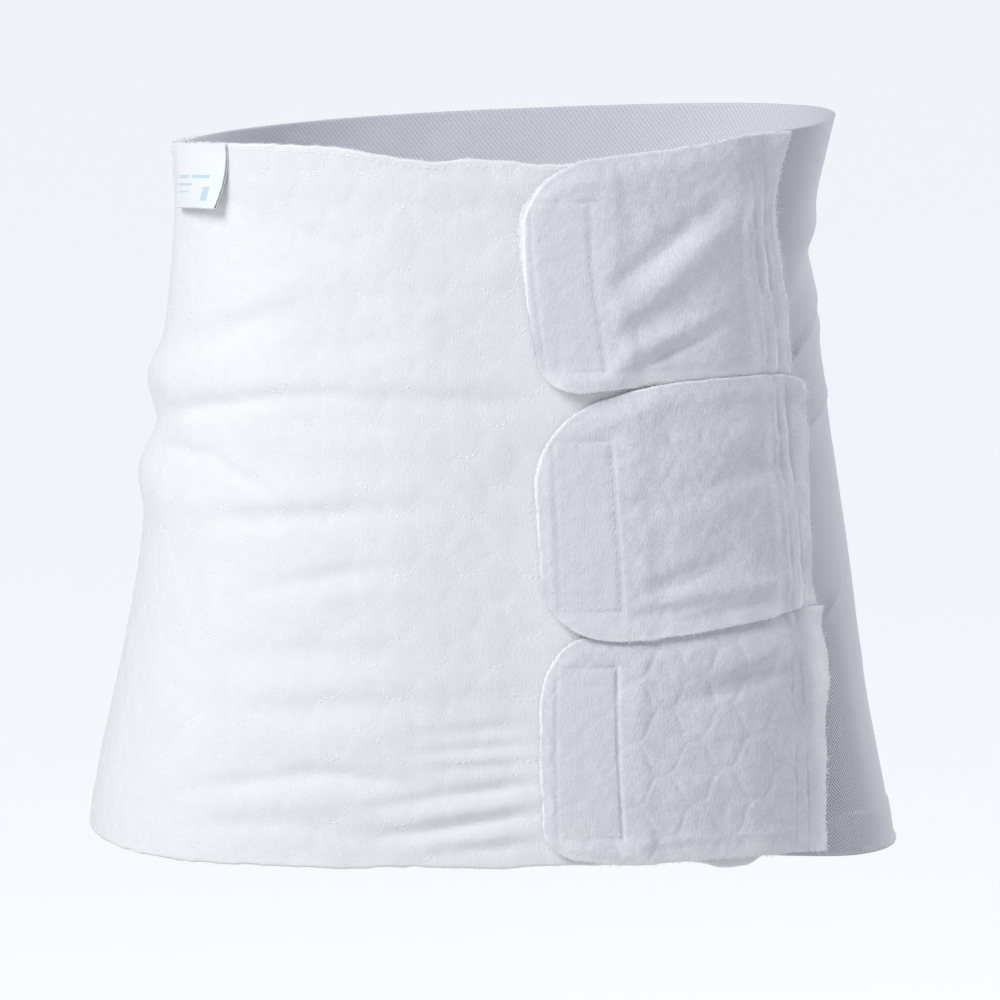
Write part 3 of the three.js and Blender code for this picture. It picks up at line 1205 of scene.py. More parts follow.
@dataclass
class FrontPanel(ClothPiece):
    """Quilted panel over the belly, from its seam on the wearer's right to its end under the tabs.

    Turns are in degrees, heights and lifts in mm, and the flat size in metres. A pair of turns or
    heights is where something starts and where it is full.
    """

    flat_size: Pair = (0.346, 0.264)
    rim_radius: float = 0.8
    start: float = -114.0
    sweep: float = 158.0
    tall: float = 264.0
    usual_edges: Pair = (-124.0, 142.0)
    lap_end: float = -102.0
    lap_settle: float = 8.0
    flattened: Pair = (0.0, 9.0)
    freed: Pair = (4.0, 26.0)
    column_step: float = 0.655
    row_step: float = 1.5
    wander: float = 0.3
    low_wander: Unevenness = Unevenness(14, 1.6)
    high_wander: Unevenness = Unevenness(15, 1.8)
    soft_lifts: Pair = (0.45, 0.2)
    broad: Unevenness = Unevenness(3, 34.0)
    fine: Unevenness = Unevenness(5, 13.0)
    strain: Unevenness = Unevenness(6, 8.0)
    strain_lift: float = 0.3
    strain_stretch: float = 5.0
    strained: Pair = (-50.0, -25.0)
    belly_lift: float = 3.4
    belly_rise: Pair = (-70.0, -25.0)
    belly_fall: Pair = (-16.0, 8.0)
    belly_low: Pair = (-128.0, -70.0)
    belly_high: Pair = (30.0, 120.0)
    grain: Unevenness = Unevenness(8, 2.6)
    grain_lift: float = 0.11
    inner_share: float = 0.5
    # Width of the painted highlight along the panel's edges.
    painted_rim_highlight_width: float = 0.6
    line_paleness: float = 0.3
    line_width: float = 1.7
    line_shown: Pair = (-50.0, 0.0)
    patches: Unevenness = Unevenness(9, 12.0)
    patch_share: Pair = (0.5, 0.35)
    stitch_seed: int = 21
    stitched_along: Pair = (-225.0, 45.0)
    stitched_up: Pair = (-128.0, 144.0)
    turned_up: Pair = (-126.0, 142.0)
    bare_start: float = 1.5
    bare_end: float = 9.0
    hem_start: float = 1.0
    stitch_margin: float = 2.5
    stitch_raised: float = 0.04
    hem_pitch: float = 1.3
    hem_half: float = 0.12
    hem_below: float = 2.4
    seam_rows: Pair = (1.4, 4.6)
    seam_reach: Pair = (-120.0, 134.0)
    quilting: Quilting = Quilting()
    top: Table = Table(
        (
            (-115, 137), (-90, 138), (-75, 139.7), (-57, 142), (-40, 142.8), (-28, 142.3), (-21, 140.3),
            (-14, 137.9), (-9.5, 137.2), (-5, 138.3), (0, 137.7), (6, 136.5), (16, 136.8), (30, 139.8),
            (45, 142),
        ),
    )
    bottom: Table = Table(
        (
            (-115, -123), (-90, -124.2), (-67, -125.6), (-58, -126.4), (-47, -127), (-32, -126.2),
            (-21, -126.3), (-10, -125), (0, -125.8), (7, -124.6), (14, -124.6), (24, -123.6),
            (27, -124.6), (30, -126.6), (33, -127.2), (35.5, -126.4), (38, -123.6), (45, -122),
        ),
    )
    folds: tuple[Fold, ...] = (
        Fold(-92, 49, 0.1, 60, 10.5, 4.8), Fold(-92, 13, -0.15, 50, 12, 4.8),
        Fold(-90, 31, 0, 22, 5, -1.2), Fold(-48, 44.1, 0.28, 34, 3.8, -1.7),
        Fold(-18, 48.5, 0, 32, 3.6, -0.75), Fold(-26, 54.4, 0, 36, 8, 0.9),
        Fold(0, 45.9, -0.2, 16, 4.5, -0.6), Fold(-46, 74, 0.5, 18, 6, -1.4),
        Fold(-22, 68, 0.05, 14, 4, -0.7), Fold(-36, 89.4, 0.6, 26, 8, 0.8),
        Fold(-56, 65.8, 0.3, 18, 6, -0.8), Fold(-60, 24.5, -0.03, 20, 3, -1.2),
        Fold(-43, 17.9, -0.8, 12, 3, -1.2), Fold(-34, 3.2, 0.19, 28, 4.6, -1.6),
        Fold(-34, 11.5, 0.15, 26, 5, 0.6), Fold(-26, -18.6, 0.44, 15, 3.8, -1.2),
        Fold(-26, -25.5, 0.3, 17, 5, 0.5), Fold(-28, -47, 0.11, 22, 5, -1.1),
        Fold(-20, -57.2, 0.1, 24, 6, 0.5), Fold(-27, -67.3, 0.12, 22, 5, -1.1),
        Fold(-31, -94.4, 0.35, 17, 3.4, -1.4), Fold(-18, -92.2, -0.2, 17, 3.4, -1.4),
        Fold(-25, -102, 0.1, 24, 5, 0.7), Fold(1, -73.5, 0.22, 14, 2.6, -1),
        Fold(0.5, -80.5, 0.19, 16, 2.5, -1.3), Fold(0.5, -83.8, 0.19, 14, 2.3, 0.6),
        Fold(0, -87.2, 0.15, 15, 2.5, -1), Fold(-1, -96.7, 0.39, 20, 2.7, -1.9),
        Fold(-2, -103, 0.4, 20, 3.4, 1.1), Fold(-1, -108, 0.45, 19, 2.6, -1.9),
        Fold(0, -113.1, 0.4, 17, 3, 0.9), Fold(3, -117, 0.28, 14, 2.4, -1.1),
        Fold(-32, 108.3, -0.51, 18, 5, -0.8), Fold(-36, -111.8, 0.26, 18, 4, -0.7),
        Fold(-16, -112.5, -0.15, 18, 4, -0.7),
    )

    def grid(self) -> tuple[Array, Array]:
        """Lay out points from the seam to the hidden end, and from the lower to the upper edge.

        Returns:
            Their turns and heights.
        """
        columns = spaced(self.sweep, self.column_step, COLUMN_RIM)
        rows = spaced(self.tall, self.row_step)
        height = mix(*self.usual_edges, rows)[:, None]
        turn = mix(self.start, CLOSURE.read("front_end", height), columns[None, :])
        return turn, mix(self.low(turn), self.high(turn), rows[:, None])

    def low(self, turn: Array) -> Array:
        """Height of the lower edge, which wanders a little."""
        return self.bottom.read("z", turn) + self.wander * self.low_wander.at(turn, 0.0 * turn)

    def high(self, turn: Array) -> Array:
        """Height of the upper edge, which wanders a little."""
        return self.top.read("z", turn) + self.wander * self.high_wander.at(turn, 0.0 * turn)

    def edge_distance(self, turn: Array, z: Array) -> Array:
        """Distance from the nearest of the four edges."""
        ends = (self.start, CLOSURE.read("front_end", z))
        return self.inside(turn, z, ends, (self.low(turn), self.high(turn)))

    def belly(self, turn: Array, z: Array) -> Array:
        """Soft swell over the belly, which eases off to all sides."""
        across = ease(turn, *self.belly_rise) * (1 - ease(turn, *self.belly_fall))
        return self.belly_lift * across * ease(z, *self.belly_low) * (1 - ease(z, *self.belly_high))

    def faces_out(self, turn: Array, z: Array) -> tuple[Array, Array]:
        """Lap over the net, then folds and soft unevenness, then the quilting on both faces.

        Args:
            turn: Turns.
            z: Heights.

        Returns:
            How far the outer and the inner face lie off the body.
        """
        lap = (self.layers.net + self.layers.gap) * (
            1 - ease(turn, self.lap_end, self.lap_end + self.lap_settle)
        )
        free = 1 - ease(turn, *self.flattened)
        loose = ease(turn, self.start + self.freed[0], self.start + self.freed[1])
        along = self.body.along(turn, z)
        soft = self.soft_lifts[0] * self.broad.at(along, z) + self.soft_lifts[1] * self.fine.at(along, z)
        drawn = self.strain.at(along / self.strain_stretch, z)
        strain = self.strain_lift * ease(turn, *self.strained) * drawn
        lifts = fold_lift(self.folds, turn, z) + soft + strain + self.belly(turn, z)
        base = lap + free * loose * lifts
        grain = self.grain_lift * self.grain.at(along, z)
        relief = (self.quilting.relief(along, z) + grain) * free
        return base + self.layers.cloth + relief, base - self.inner_share * relief * loose

    def masks(self, turn: Array, z: Array) -> dict[str, Array]:
        """No part of the panel is pressed; its edges get a painted highlight, and its quilting lines are
        a little paler.

        Args:
            turn: Turns.
            z: Heights.

        Returns:
            The numbers at each point, by name.
        """
        along = self.body.along(turn, z)
        patchy = self.patch_share[0] + self.patch_share[1] * self.patches.at(along, z)
        line = patchy * bell(self.quilting.distance(along, z), self.line_width)
        line = self.line_paleness * ease(turn, *self.line_shown) * line
        # Painted highlight along the edges, joined with the paler quilting lines.
        raw = np.maximum(bell(self.edge_distance(turn, z), self.painted_rim_highlight_width), line)
        return {"pressed": np.zeros_like(turn), "raw": raw}

    def quilt_stitches(self, material: Material) -> Piece:
        """Sew the quilting where the tabs leave the panel bare, its upper hem and its seam.

        Args:
            material: Finish of the thread.

        Returns:
            The stitches.
        """
        along, up = self.quilting.stitch_places(self.stitched_along, self.stitched_up, self.stitch_seed)
        turn = self.body.turn_at(along, np.clip(up, *self.turned_up))
        middle_turn, middle_up = turn.mean(axis=1), up.mean(axis=1)
        keep = self.edge_distance(middle_turn, middle_up) > self.stitch_margin
        keep &= (middle_turn > self.start + self.bare_start) & (middle_turn < self.bare_end)
        step = np.array([-1.0, 1.0])
        hem = np.arange(self.start + self.hem_start, self.bare_end, self.hem_pitch)[:, None]
        hem = hem + self.hem_half * step
        row = np.arange(*self.seam_reach, SEAM_PITCH)[:, None] + STITCH_HALF * step
        turns = [turn[keep], hem] + [np.full_like(row, self.start + line) for line in self.seam_rows]
        heights = [up[keep], self.top.read("z", hem) - self.hem_below, row, row]
        turn, z = np.concatenate(turns), np.concatenate(heights)
        return self.stitches("front_panel_stitches", turn, z, material, self.stitch_raised)


@dataclass(frozen=True)
class Corner:
    """A rounded corner: how far it reaches from the tab's tip, in degrees, and its drop in mm."""

    reach: float
    drop: float

    def inset(self, from_tip: Array) -> Array:
        """How far the edge is drawn in at a distance from the tip: a quarter of an ellipse."""
        left = np.clip(1 - from_tip / self.reach, 0.0, 1.0)
        return self.drop * (1 - np.sqrt(1 - left * left))


@dataclass(frozen=True)
class HookPlace:
    """Where a tab's hook tape lies: middle, slant and width in degrees, bottom and top in mm."""

    middle: float
    slant: float
    bottom: float
    top: float
    width: float

    def turn_of_middle(self, z: Array) -> Array:
        """Turn of the tape's middle line at a height."""
        return self.middle + self.slant * (0.5 - (z - self.bottom) / (self.top - self.bottom))

    def inside(self, turn: Array, z: Array, speed: Array) -> Array:
        """Distance inside the tape's edge.

        Args:
            turn: Turns.
            z: Heights.
            speed: Length of outline for each degree there.

        Returns:
            The distances, below 0 outside the tape.
        """
        across = (self.width / 2 - np.abs(turn - self.turn_of_middle(z))) * speed
        upright = np.minimum(z - self.bottom, self.top - z)
        return np.minimum(across, upright)


class TabNoise(Enum):
    """The noises of a tab: what is added to its seed, and the size of the lattice."""

    SOFT = (0, 17.0)
    PUFF = (1, 21.0)
    GRAIN = (2, 2.4)
    FINE_PUFF = (3, 10.0)
    TIP = (4, 0.05)
    LOW = (5, 1.7)
    HIGH = (6, 1.7)
    RAW = (7, 8.0)
    FRAY = (8, 1.4)
    PUCKER = (9, 6.0)
    FINE_SOFT = (10, 8.0)
    PATCHES = (11, 9.0)
    CRUMPLE = (12, 5.0)


@dataclass(kw_only=True)
class Tab(ClothPiece):
    """Quilted tab, from its rounded tip over the hook tape to its raw edge over the net.

    Turns are in degrees, lengths and lifts in mm, and the flat run in metres. Past the seam the raw
    edge curls. The lower edge flares out, and the flare fades to its end's share. Slack is the depth
    that the valleys may take up. A painted highlight whitens the cloth past the seam and low down,
    where the curled flap and the flared lower edge catch the light. A pair of distances is where
    something starts and where it is full, and shares weigh the noises.
    """

    flat_run: float
    tip: float
    slant: float
    top_corner: Corner
    bottom_corner: Corner
    top: Table
    bottom: Table
    raw_edge: Table
    seam: Table
    hook: HookPlace
    folds: tuple[Fold, ...]
    quilting: Quilting
    seed: int
    tall: float = 88.0
    step: float = 0.75
    corner_points: int = 36
    close_share: float = 0.3
    close_step: float = 0.004
    open_run: float = 70.0
    middle_turn: float = 18.0
    tip_wander: float = 0.12
    edge_wander: float = 0.25
    raw_wander: float = 0.15
    fray: float = 0.1
    past_end: float = 1.0
    settle: float = 4.0
    tape_slope: float = 15.0
    tip_share: float = 0.8
    slack: float = 1.2
    soft: float = 0.65
    soft_shares: Pair = (0.45, 0.2)
    loose_edge: Pair = (1.0, 9.0)
    loose_seam: Pair = (1.5, 9.0)
    loose_tape: Pair = (0.0, 11.0)
    flap_share: float = 0.45
    flare: float = 3.8
    flare_height: float = 12.0
    flare_start: float = 6.0
    flare_fade: Pair = (70.0, 80.0)
    flare_end: float = 0.0
    curl: float = 2.6
    curl_run: float = 10.0
    curl_start: float = 0.3
    curl_shares: Pair = (0.4, 0.6)
    curl_limit: float = 1.5
    puff_shares: Pair = (0.3, 0.25)
    over_neighbour: float = 0.0
    lap_height: Pair = (1.0, 11.0)
    lap_turns: Pair = (19.0, 26.0)
    lap_growth: float = 0.7
    lap_run: float = 6.0
    quilted: Pair = (1.5, 5.0)
    tape_flatness: float = 0.6
    tape_rim: Pair = (-0.5, 1.5)
    crumple: float = 0.14
    grain_lift: float = 0.12
    tape_groove: Pair = (0.22, 0.6)
    groove_change: float = 3.0
    groove_out: float = 0.2
    groove_width: float = 0.85
    seam_grooves: Pair = (0.36, 0.44)
    seam_width: float = 0.9
    seam_ridge: float = 0.35
    ridge_side: Pair = (0.5, 2.2)
    pucker: Pair = (0.75, 0.6)
    thin_rim: float = 0.42
    upper_rim: float = 0.78
    rim_height: float = 6.0
    rim_width: float = 5.0
    # Painted highlight: the curled flap past the seam and the lower part are painted paler where they
    # catch the light.
    painted_flap_highlight: float = 0.5
    most_painted_flap_highlight: float = 0.85
    painted_flap_highlight_run: float = 8.0
    painted_low_highlight: float = 0.8
    painted_low_highlight_height: float = 13.0
    patch_share: Pair = (0.75, 0.5)
    # Width of the painted highlight along the tab's edges.
    painted_rim_highlight_width: float = 0.4
    pressed_rim: Pair = (-0.8, 0.4)
    stitched_along: Pair = (0.0, 160.0)
    stitched_turn: float = 30.0
    stitched_past: Pair = (4.0, 8.0)
    stitch_margin: float = 4.0
    seam_clear: float = 2.0
    seam_turn: float = 48.0
    seam_margin: float = 2.0
    stitch_raised: float = -0.08
    tape_inset: float = 1.2

    def tip_at(self, share: Array) -> Array:
        """Turn of the tip's edge at a share of the tab's height."""
        wander = self.tip_wander * self.noise(TabNoise.TIP, share, 0.0 * share)
        return self.tip + self.slant * (0.5 - share) + wander

    def low(self, turn: Array) -> Array:
        """Height of the lower edge before its corner is rounded; it wanders a little."""
        return self.bottom.read("z", turn) + self.edge_wander * self.noise(TabNoise.LOW, turn, 0.0 * turn)

    def high(self, turn: Array) -> Array:
        """Height of the upper edge before its corner is rounded; it wanders a little."""
        return self.top.read("z", turn) + self.edge_wander * self.noise(TabNoise.HIGH, turn, 0.0 * turn)

    def raw_at(self, z: Array) -> Array:
        """Turn of the raw edge, which is frayed.

        Args:
            z: Heights.

        Returns:
            The turns.
        """
        wander = self.raw_wander * self.noise(TabNoise.RAW, z, 0.0 * z)
        fray = self.fray * self.noise(TabNoise.FRAY, z, 0.0 * z)
        return self.raw_edge.read("turn", z) + wander + fray

    def grid(self) -> tuple[Array, Array]:
        """Lay out points from the tip to the raw edge, close together round the corners.

        Returns:
            Their turns and heights.
        """
        rows = spaced(self.tall, self.step)[:, None]
        reach = max(self.top_corner.reach, self.bottom_corner.reach)
        corner = reach * (1 - np.cos(np.linspace(0, np.pi / 2, self.corner_points)))[None, :]
        beside_tape = np.arange(self.close_step, self.close_share, self.close_step)
        past_tape = mix(self.close_share, 1.0, spaced(self.open_run, self.step))
        rest = np.concatenate([beside_tape, past_tape])[None, :]
        tip = self.tip_at(rows)
        usual_low, usual_high = (edge.read("z", self.middle_turn) for edge in (self.bottom, self.top))
        raw = self.raw_at(mix(usual_low, usual_high, rows))
        turn = np.concatenate([tip + corner, tip + reach + (raw - tip - reach) * rest], axis=1)
        low = self.low(turn) + self.bottom_corner.inset(turn - tip)
        high = self.high(turn) - self.top_corner.inset(turn - tip)
        return turn, mix(low, high, rows)

    def edge_distance(self, turn: Array, z: Array) -> Array:
        """Distance from the edge: straight sides, with a rounded measure inside the corners.

        Args:
            turn: Turns.
            z: Heights.

        Returns:
            The distances.
        """
        speed = self.body.speed(turn, z)
        low, high = self.low(turn), self.high(turn)
        tip = self.tip_at((z - low) / (high - low))
        from_tip = np.maximum((turn - tip) * speed, 0.0)
        distance = np.minimum(from_tip, (self.raw_at(z) - turn) * speed)
        for height, corner in ((high - z, self.top_corner), (z - low, self.bottom_corner)):
            wide, tall = corner.reach * speed, corner.drop
            across = np.clip(1 - from_tip / wide, 0.0, 1.0)
            upright = np.clip(1 - height / tall, 0.0, 1.0)
            rounded = (1 - np.hypot(across, upright)) * np.sqrt(wide * tall)
            inside_corner = (across > 0) & (upright > 0)
            distance = np.minimum(distance, np.where(inside_corner, rounded, height))
        return np.maximum(distance, 0.0)

    def seam_offset(self, line: str, turn: Array, z: Array) -> Array:
        """Distance past one of the two rows of stitches that hold the tab."""
        return (turn - self.seam.read(line, z)) * self.body.speed(turn, z)

    def noise(self, kind: TabNoise, along: Array, up: Array) -> Array:
        """One of the tab's own noises."""
        number, size = kind.value
        return Unevenness(self.seed + number, size).at(along, up)

    def rest_out(self, turn: Array, z: Array, tape: Array) -> Array:
        """How far the panel or the net, and the hook tape, hold the tab off the body.

        Args:
            turn: Turns.
            z: Heights.
            tape: Distances inside the hook tape's edge.

        Returns:
            The distances off the body.
        """
        layers = self.layers
        front_end = CLOSURE.read("front_end", z) + self.past_end
        over_front = 1 - ease(turn, front_end, front_end + self.settle)
        tip_side = 1 - ease((turn - self.hook.turn_of_middle(z)) / self.hook.width, -0.5, 0.5)
        over_tape = np.maximum(ease(tape, -self.tape_slope, 0.0), self.tip_share * tip_side)
        under = mix(layers.net, layers.cloth, over_front) + layers.gap
        return under + (layers.hook + layers.gap) * over_tape

    def edges_out(self, turn: Array, z: Array, along: Array) -> Array:
        """Lift of the curled flap past the seam, the flared lower edge and the lap over a neighbour.

        Args:
            turn: Turns.
            z: Heights.
            along: Places along the outline.

        Returns:
            The lifts.
        """
        past_seam = self.seam_offset("outer", turn, z)
        broad, fine = (self.noise(kind, along, z) for kind in (TabNoise.PUFF, TabNoise.FINE_PUFF))
        puffed = 1 + self.puff_shares[0] * broad + self.puff_shares[1] * fine
        rising = self.curl_shares[0] * ease(past_seam, self.curl_start, self.curl_run)
        steep = np.square(np.clip(past_seam / self.curl_run, 0.0, self.curl_limit))
        rising = rising + self.curl_shares[1] * steep
        above = z - self.low(turn)
        flared = np.square(np.clip(1 - above / self.flare_height, 0.0, 1.0))
        fade = mix(1.0, self.flare_end, ease(turn, *self.flare_fade))
        flare = self.flare * ease(turn, self.tip, self.tip + self.flare_start) * fade
        near_top = (1 - ease(self.high(turn) - z, *self.lap_height)) * ease(turn, *self.lap_turns)
        growth = 1 + self.lap_growth * ease(past_seam, 0.0, self.lap_run)
        lap = self.over_neighbour * near_top * growth
        return self.curl * rising * puffed + flare * flared + lap

    def relief(self, turn: Array, z: Array, along: Array, tape: Array, edge: Array) -> Array:
        """Quilting and crumples, the groove round the hook tape and the two rows of the seam.

        Args:
            turn: Turns.
            z: Heights.
            along: Places along the outline.
            tape: Distances inside the hook tape's edge.
            edge: Distances from the tab's edge.

        Returns:
            The relief of the outer face.
        """
        flatness = 1 - self.tape_flatness * ease(tape, *self.tape_rim)
        relief = flatness * self.quilting.relief(along, z) * ease(edge, *self.quilted)
        relief = relief + self.grain_lift * self.noise(TabNoise.GRAIN, along, z)
        relief = relief + self.crumple * self.noise(TabNoise.CRUMPLE, along, z)
        far_side = ease(turn, self.hook.middle, self.hook.middle + self.groove_change)
        groove = mix(*self.tape_groove, far_side) * bell(tape + self.groove_out, self.groove_width)
        relief = relief - groove
        inner, outer = self.seam_offset("inner", turn, z), self.seam_offset("outer", turn, z)
        pucker = self.pucker[0] + self.pucker[1] * self.noise(TabNoise.PUCKER, z, 0.0 * z)
        seams = self.seam_grooves[0] * bell(inner, self.seam_width)
        seams = seams + self.seam_grooves[1] * bell(outer, self.seam_width)
        ridge = self.seam_ridge * ease(inner, *self.ridge_side) * ease(-outer, *self.ridge_side)
        return relief + pucker * (ridge - seams)

    def faces_out(self, turn: Array, z: Array) -> tuple[Array, Array]:
        """Lie on the panel, the net and the hook tape; then folds, quilting, seams and rim.

        Args:
            turn: Turns.
            z: Heights.

        Returns:
            How far the outer and the inner face lie off the body.
        """
        along = self.body.along(turn, z)
        tape = self.hook.inside(turn, z, self.body.speed(turn, z))
        edge = self.edge_distance(turn, z)
        above = z - self.low(turn)
        past_seam = self.seam_offset("outer", turn, z)
        on_flap = mix(self.flap_share, 1.0, ease(-past_seam, *self.loose_seam))
        loose = ease(edge, *self.loose_edge) * on_flap
        loose = loose * ease(-tape, *self.loose_tape) * ease(above, *self.loose_edge)
        broad, fine = (self.noise(kind, along, z) for kind in (TabNoise.SOFT, TabNoise.FINE_SOFT))
        soft = self.soft + self.soft_shares[0] * broad + self.soft_shares[1] * fine
        folds = np.maximum(fold_lift(self.folds, turn, z), -self.slack) + self.slack
        base = self.rest_out(turn, z, tape) + self.edges_out(turn, z, along) + loose * (folds + soft)
        rim_share = mix(self.thin_rim, self.upper_rim, ease(above, 0.0, self.rim_height))
        thick = self.layers.cloth * mix(rim_share, 1.0, ease(edge, 0.0, self.rim_width))
        return base + thick + self.relief(turn, z, along, tape, edge), base

    def masks(self, turn: Array, z: Array) -> dict[str, Array]:
        """Pressed flat over the hook tape; painted highlight along the edges, past the seam and low down.

        Args:
            turn: Turns.
            z: Heights.

        Returns:
            The numbers at each point, by name.
        """
        past_seam = self.seam_offset("outer", turn, z)
        patches = self.noise(TabNoise.PATCHES, past_seam, z)
        patchy = self.patch_share[0] + self.patch_share[1] * patches
        # Painted highlight over the curled flap past the seam.
        painted_flap_highlight_share = np.clip(self.painted_flap_highlight * patchy, 0.0, self.most_painted_flap_highlight)
        painted_flap_highlight_share = painted_flap_highlight_share * ease(past_seam, 0.0, self.painted_flap_highlight_run)
        # Painted highlight low on the tab, over its flared lower edge.
        hem = self.painted_low_highlight * patchy * (1 - ease(z - self.low(turn), 0.0, self.painted_low_highlight_height))
        # Painted highlight along the tab's edges.
        rim = bell(self.edge_distance(turn, z), self.painted_rim_highlight_width)
        tape = self.hook.inside(turn, z, self.body.speed(turn, z))
        return {
            "pressed": ease(tape, *self.pressed_rim),
            "raw": np.maximum(rim, np.maximum(painted_flap_highlight_share, hem)),
        }

    def quilt_stitches(self, material: Material) -> Piece:
        """Sew the quilting, the hook tape and the two rows of the seam.

        Args:
            material: Finish of the thread.

        Returns:
            The stitches.
        """
        low = float(self.bottom.read("z", self.stitched_turn)) - self.stitched_past[0]
        high = float(self.top.read("z", self.stitched_turn)) + self.stitched_past[1]
        along, up = self.quilting.stitch_places(self.stitched_along, (low, high), self.seed)
        turn = self.body.turn_at(along, up)
        middle_turn, middle_up = turn.mean(axis=1), up.mean(axis=1)
        keep = self.edge_distance(middle_turn, middle_up) > self.stitch_margin
        keep &= self.seam_offset("inner", middle_turn, middle_up) < -self.seam_clear
        turns, heights = [turn[keep]], [up[keep]]
        for path_turn, path_z in self.seam_paths():
            turns.append(path_turn)
            heights.append(path_z)
        turn, z = np.concatenate(turns), np.concatenate(heights)
        return self.stitches(f"{self.name}_stitches", turn, z, material, self.stitch_raised)

    def seam_paths(self) -> list[tuple[Array, Array]]:
        """Stitches of the seam's two rows and round the hook tape.

        Returns:
            Turns and heights of pairs of points just before and after each stitch's middle.
        """
        step = STITCH_HALF * np.array([-1.0, 1.0])
        paths = []
        low = float(self.bottom.read("z", self.seam_turn)) + self.seam_margin
        high = float(self.top.read("z", self.seam_turn)) - self.seam_margin
        for line in ("inner", "outer"):
            z = np.arange(low, high, SEAM_PITCH)[:, None] + step
            paths.append((self.seam.read(line, z), z))
        hook, inset = self.hook, self.tape_inset
        z = np.arange(hook.bottom + inset, hook.top - inset, SEAM_PITCH)[:, None] + step
        for side in (-1, 1):
            speed = self.body.speed(np.array(hook.middle), z)
            paths.append((hook.turn_of_middle(z) + side * (hook.width / 2 - inset / speed), z))
        for level in (hook.bottom + inset, hook.top - inset):
            speed = float(self.body.speed(np.array(hook.middle), np.array(level)))
            reach = hook.width / 2 - inset / speed
            turn = np.arange(-reach, reach, SEAM_PITCH / speed)[:, None] + step / speed
            turn = turn + hook.turn_of_middle(np.array(level))
            paths.append((turn, np.full_like(turn, level)))
        return paths


@dataclass(kw_only=True)
class UpperTab(Tab):
    """The upper tab, which rises to the net's upper edge."""

    flat_run: float = 0.111
    tip: float = 4.8
    slant: float = 3.4
    top_corner: Corner = Corner(12, 24)
    bottom_corner: Corner = Corner(6.5, 14)
    top: Table = Table(((4, 136.4), (17, 139.3), (32, 143.1), (40, 145.6), (60, 147.4)))
    bottom: Table = Table(((4, 51), (14, 51.2), (19, 52), (24, 52.9), (34, 53.4), (45, 53.9), (60, 53.6)))
    raw_edge: Table = Table(
        (
            (55, 57.8), (66, 58.1), (78, 58.4), (92, 57.3), (105, 54.9), (120, 52.9), (134, 52.7),
            (147, 53.9),
        ),
        ("z", "turn"),
    )
    seam: Table = Table(
        (
            (56, 50.3, 53.9), (72, 49.9, 53.5), (98, 48.5, 52), (121, 45.8, 49.4), (145, 43.1, 46.4),
        ),
        ("z", "inner", "outer"),
    )
    hook: HookPlace = HookPlace(11.0, 3.2, 59, 122, 9.2)
    folds: tuple[Fold, ...] = (
        Fold(27.6, 105, 1.63, 14, 5.3, -1.7), Fold(30, 96.5, 1.63, 22, 7, 1.7),
        Fold(33, 97, 1.63, 26, 13, 1.2), Fold(38, 97.5, 1.64, 22, 8, -0.5),
        Fold(26.2, 70, 0.91, 18, 4.5, 2.1), Fold(29.1, 65.8, 0.84, 12, 1.9, -1.5),
        Fold(23.5, 77, 1, 14, 5.5, -1.3), Fold(30, 132.6, 0.1, 18, 6, -0.8),
    )
    quilting: Quilting = Quilting(
        shift=7.0, rise=4.0, tilt=2.0, groove=0.07, puff=0.04, trough_share=0.1, other_share=0.02
    )
    seed: int = 41
    flare_fade: Pair = (12.0, 24.0)


@dataclass(kw_only=True)
class MiddleTab(Tab):
    """The middle tab, whose upper edge laps over the upper tab."""

    flat_run: float = 0.119
    tip: float = 6.0
    slant: float = 0.8
    top_corner: Corner = Corner(12, 30)
    bottom_corner: Corner = Corner(9, 20)
    top: Table = Table(
        (
            (4, 45.4), (12, 46.4), (17, 48.6), (24, 52.4), (28, 54.1), (34, 54.8), (45, 55.4), (51, 55),
            (57, 53.6), (61, 50.2),
        ),
    )
    bottom: Table = Table(((4, -38.6), (14, -40.4), (20, -41.1), (30, -38.6), (39, -36), (60, -31.8)))
    raw_edge: Table = Table(
        ((-31, 56), (-16, 57), (3, 58.1), (18, 59.3), (33, 60.5), (44, 60.7), (51, 58.8)), ("z", "turn")
    )
    seam: Table = Table(((-30, 49.4, 52.8), (8, 50.4, 53.8), (46, 50.9, 54.3)), ("z", "inner", "outer"))
    hook: HookPlace = HookPlace(13.2, 0.4, -30, 33, 8.8)
    folds: tuple[Fold, ...] = (
        Fold(27.2, -19.3, 0.83, 14, 4, -1.8), Fold(33, -24, 0.21, 24, 4.2, 1.7),
        Fold(42.7, -30, 0.28, 13, 3.2, -1.8), Fold(22, -31.5, 0.3, 12, 3, -1.2),
        Fold(43, 20, 0.45, 19, 5, -1.3), Fold(41, 33, 0.4, 18, 8, 0.9), Fold(30, 3, 0.35, 12, 6, 0.7),
    )
    quilting: Quilting = Quilting(
        shift=-3.0, rise=1.0, tilt=-1.5, groove=0.1, puff=0.05, trough_share=0.2, other_share=0.04
    )
    seed: int = 51
    flare_fade: Pair = (40.0, 52.0)
    flare_end: float = 0.45
    over_neighbour: float = 1.7


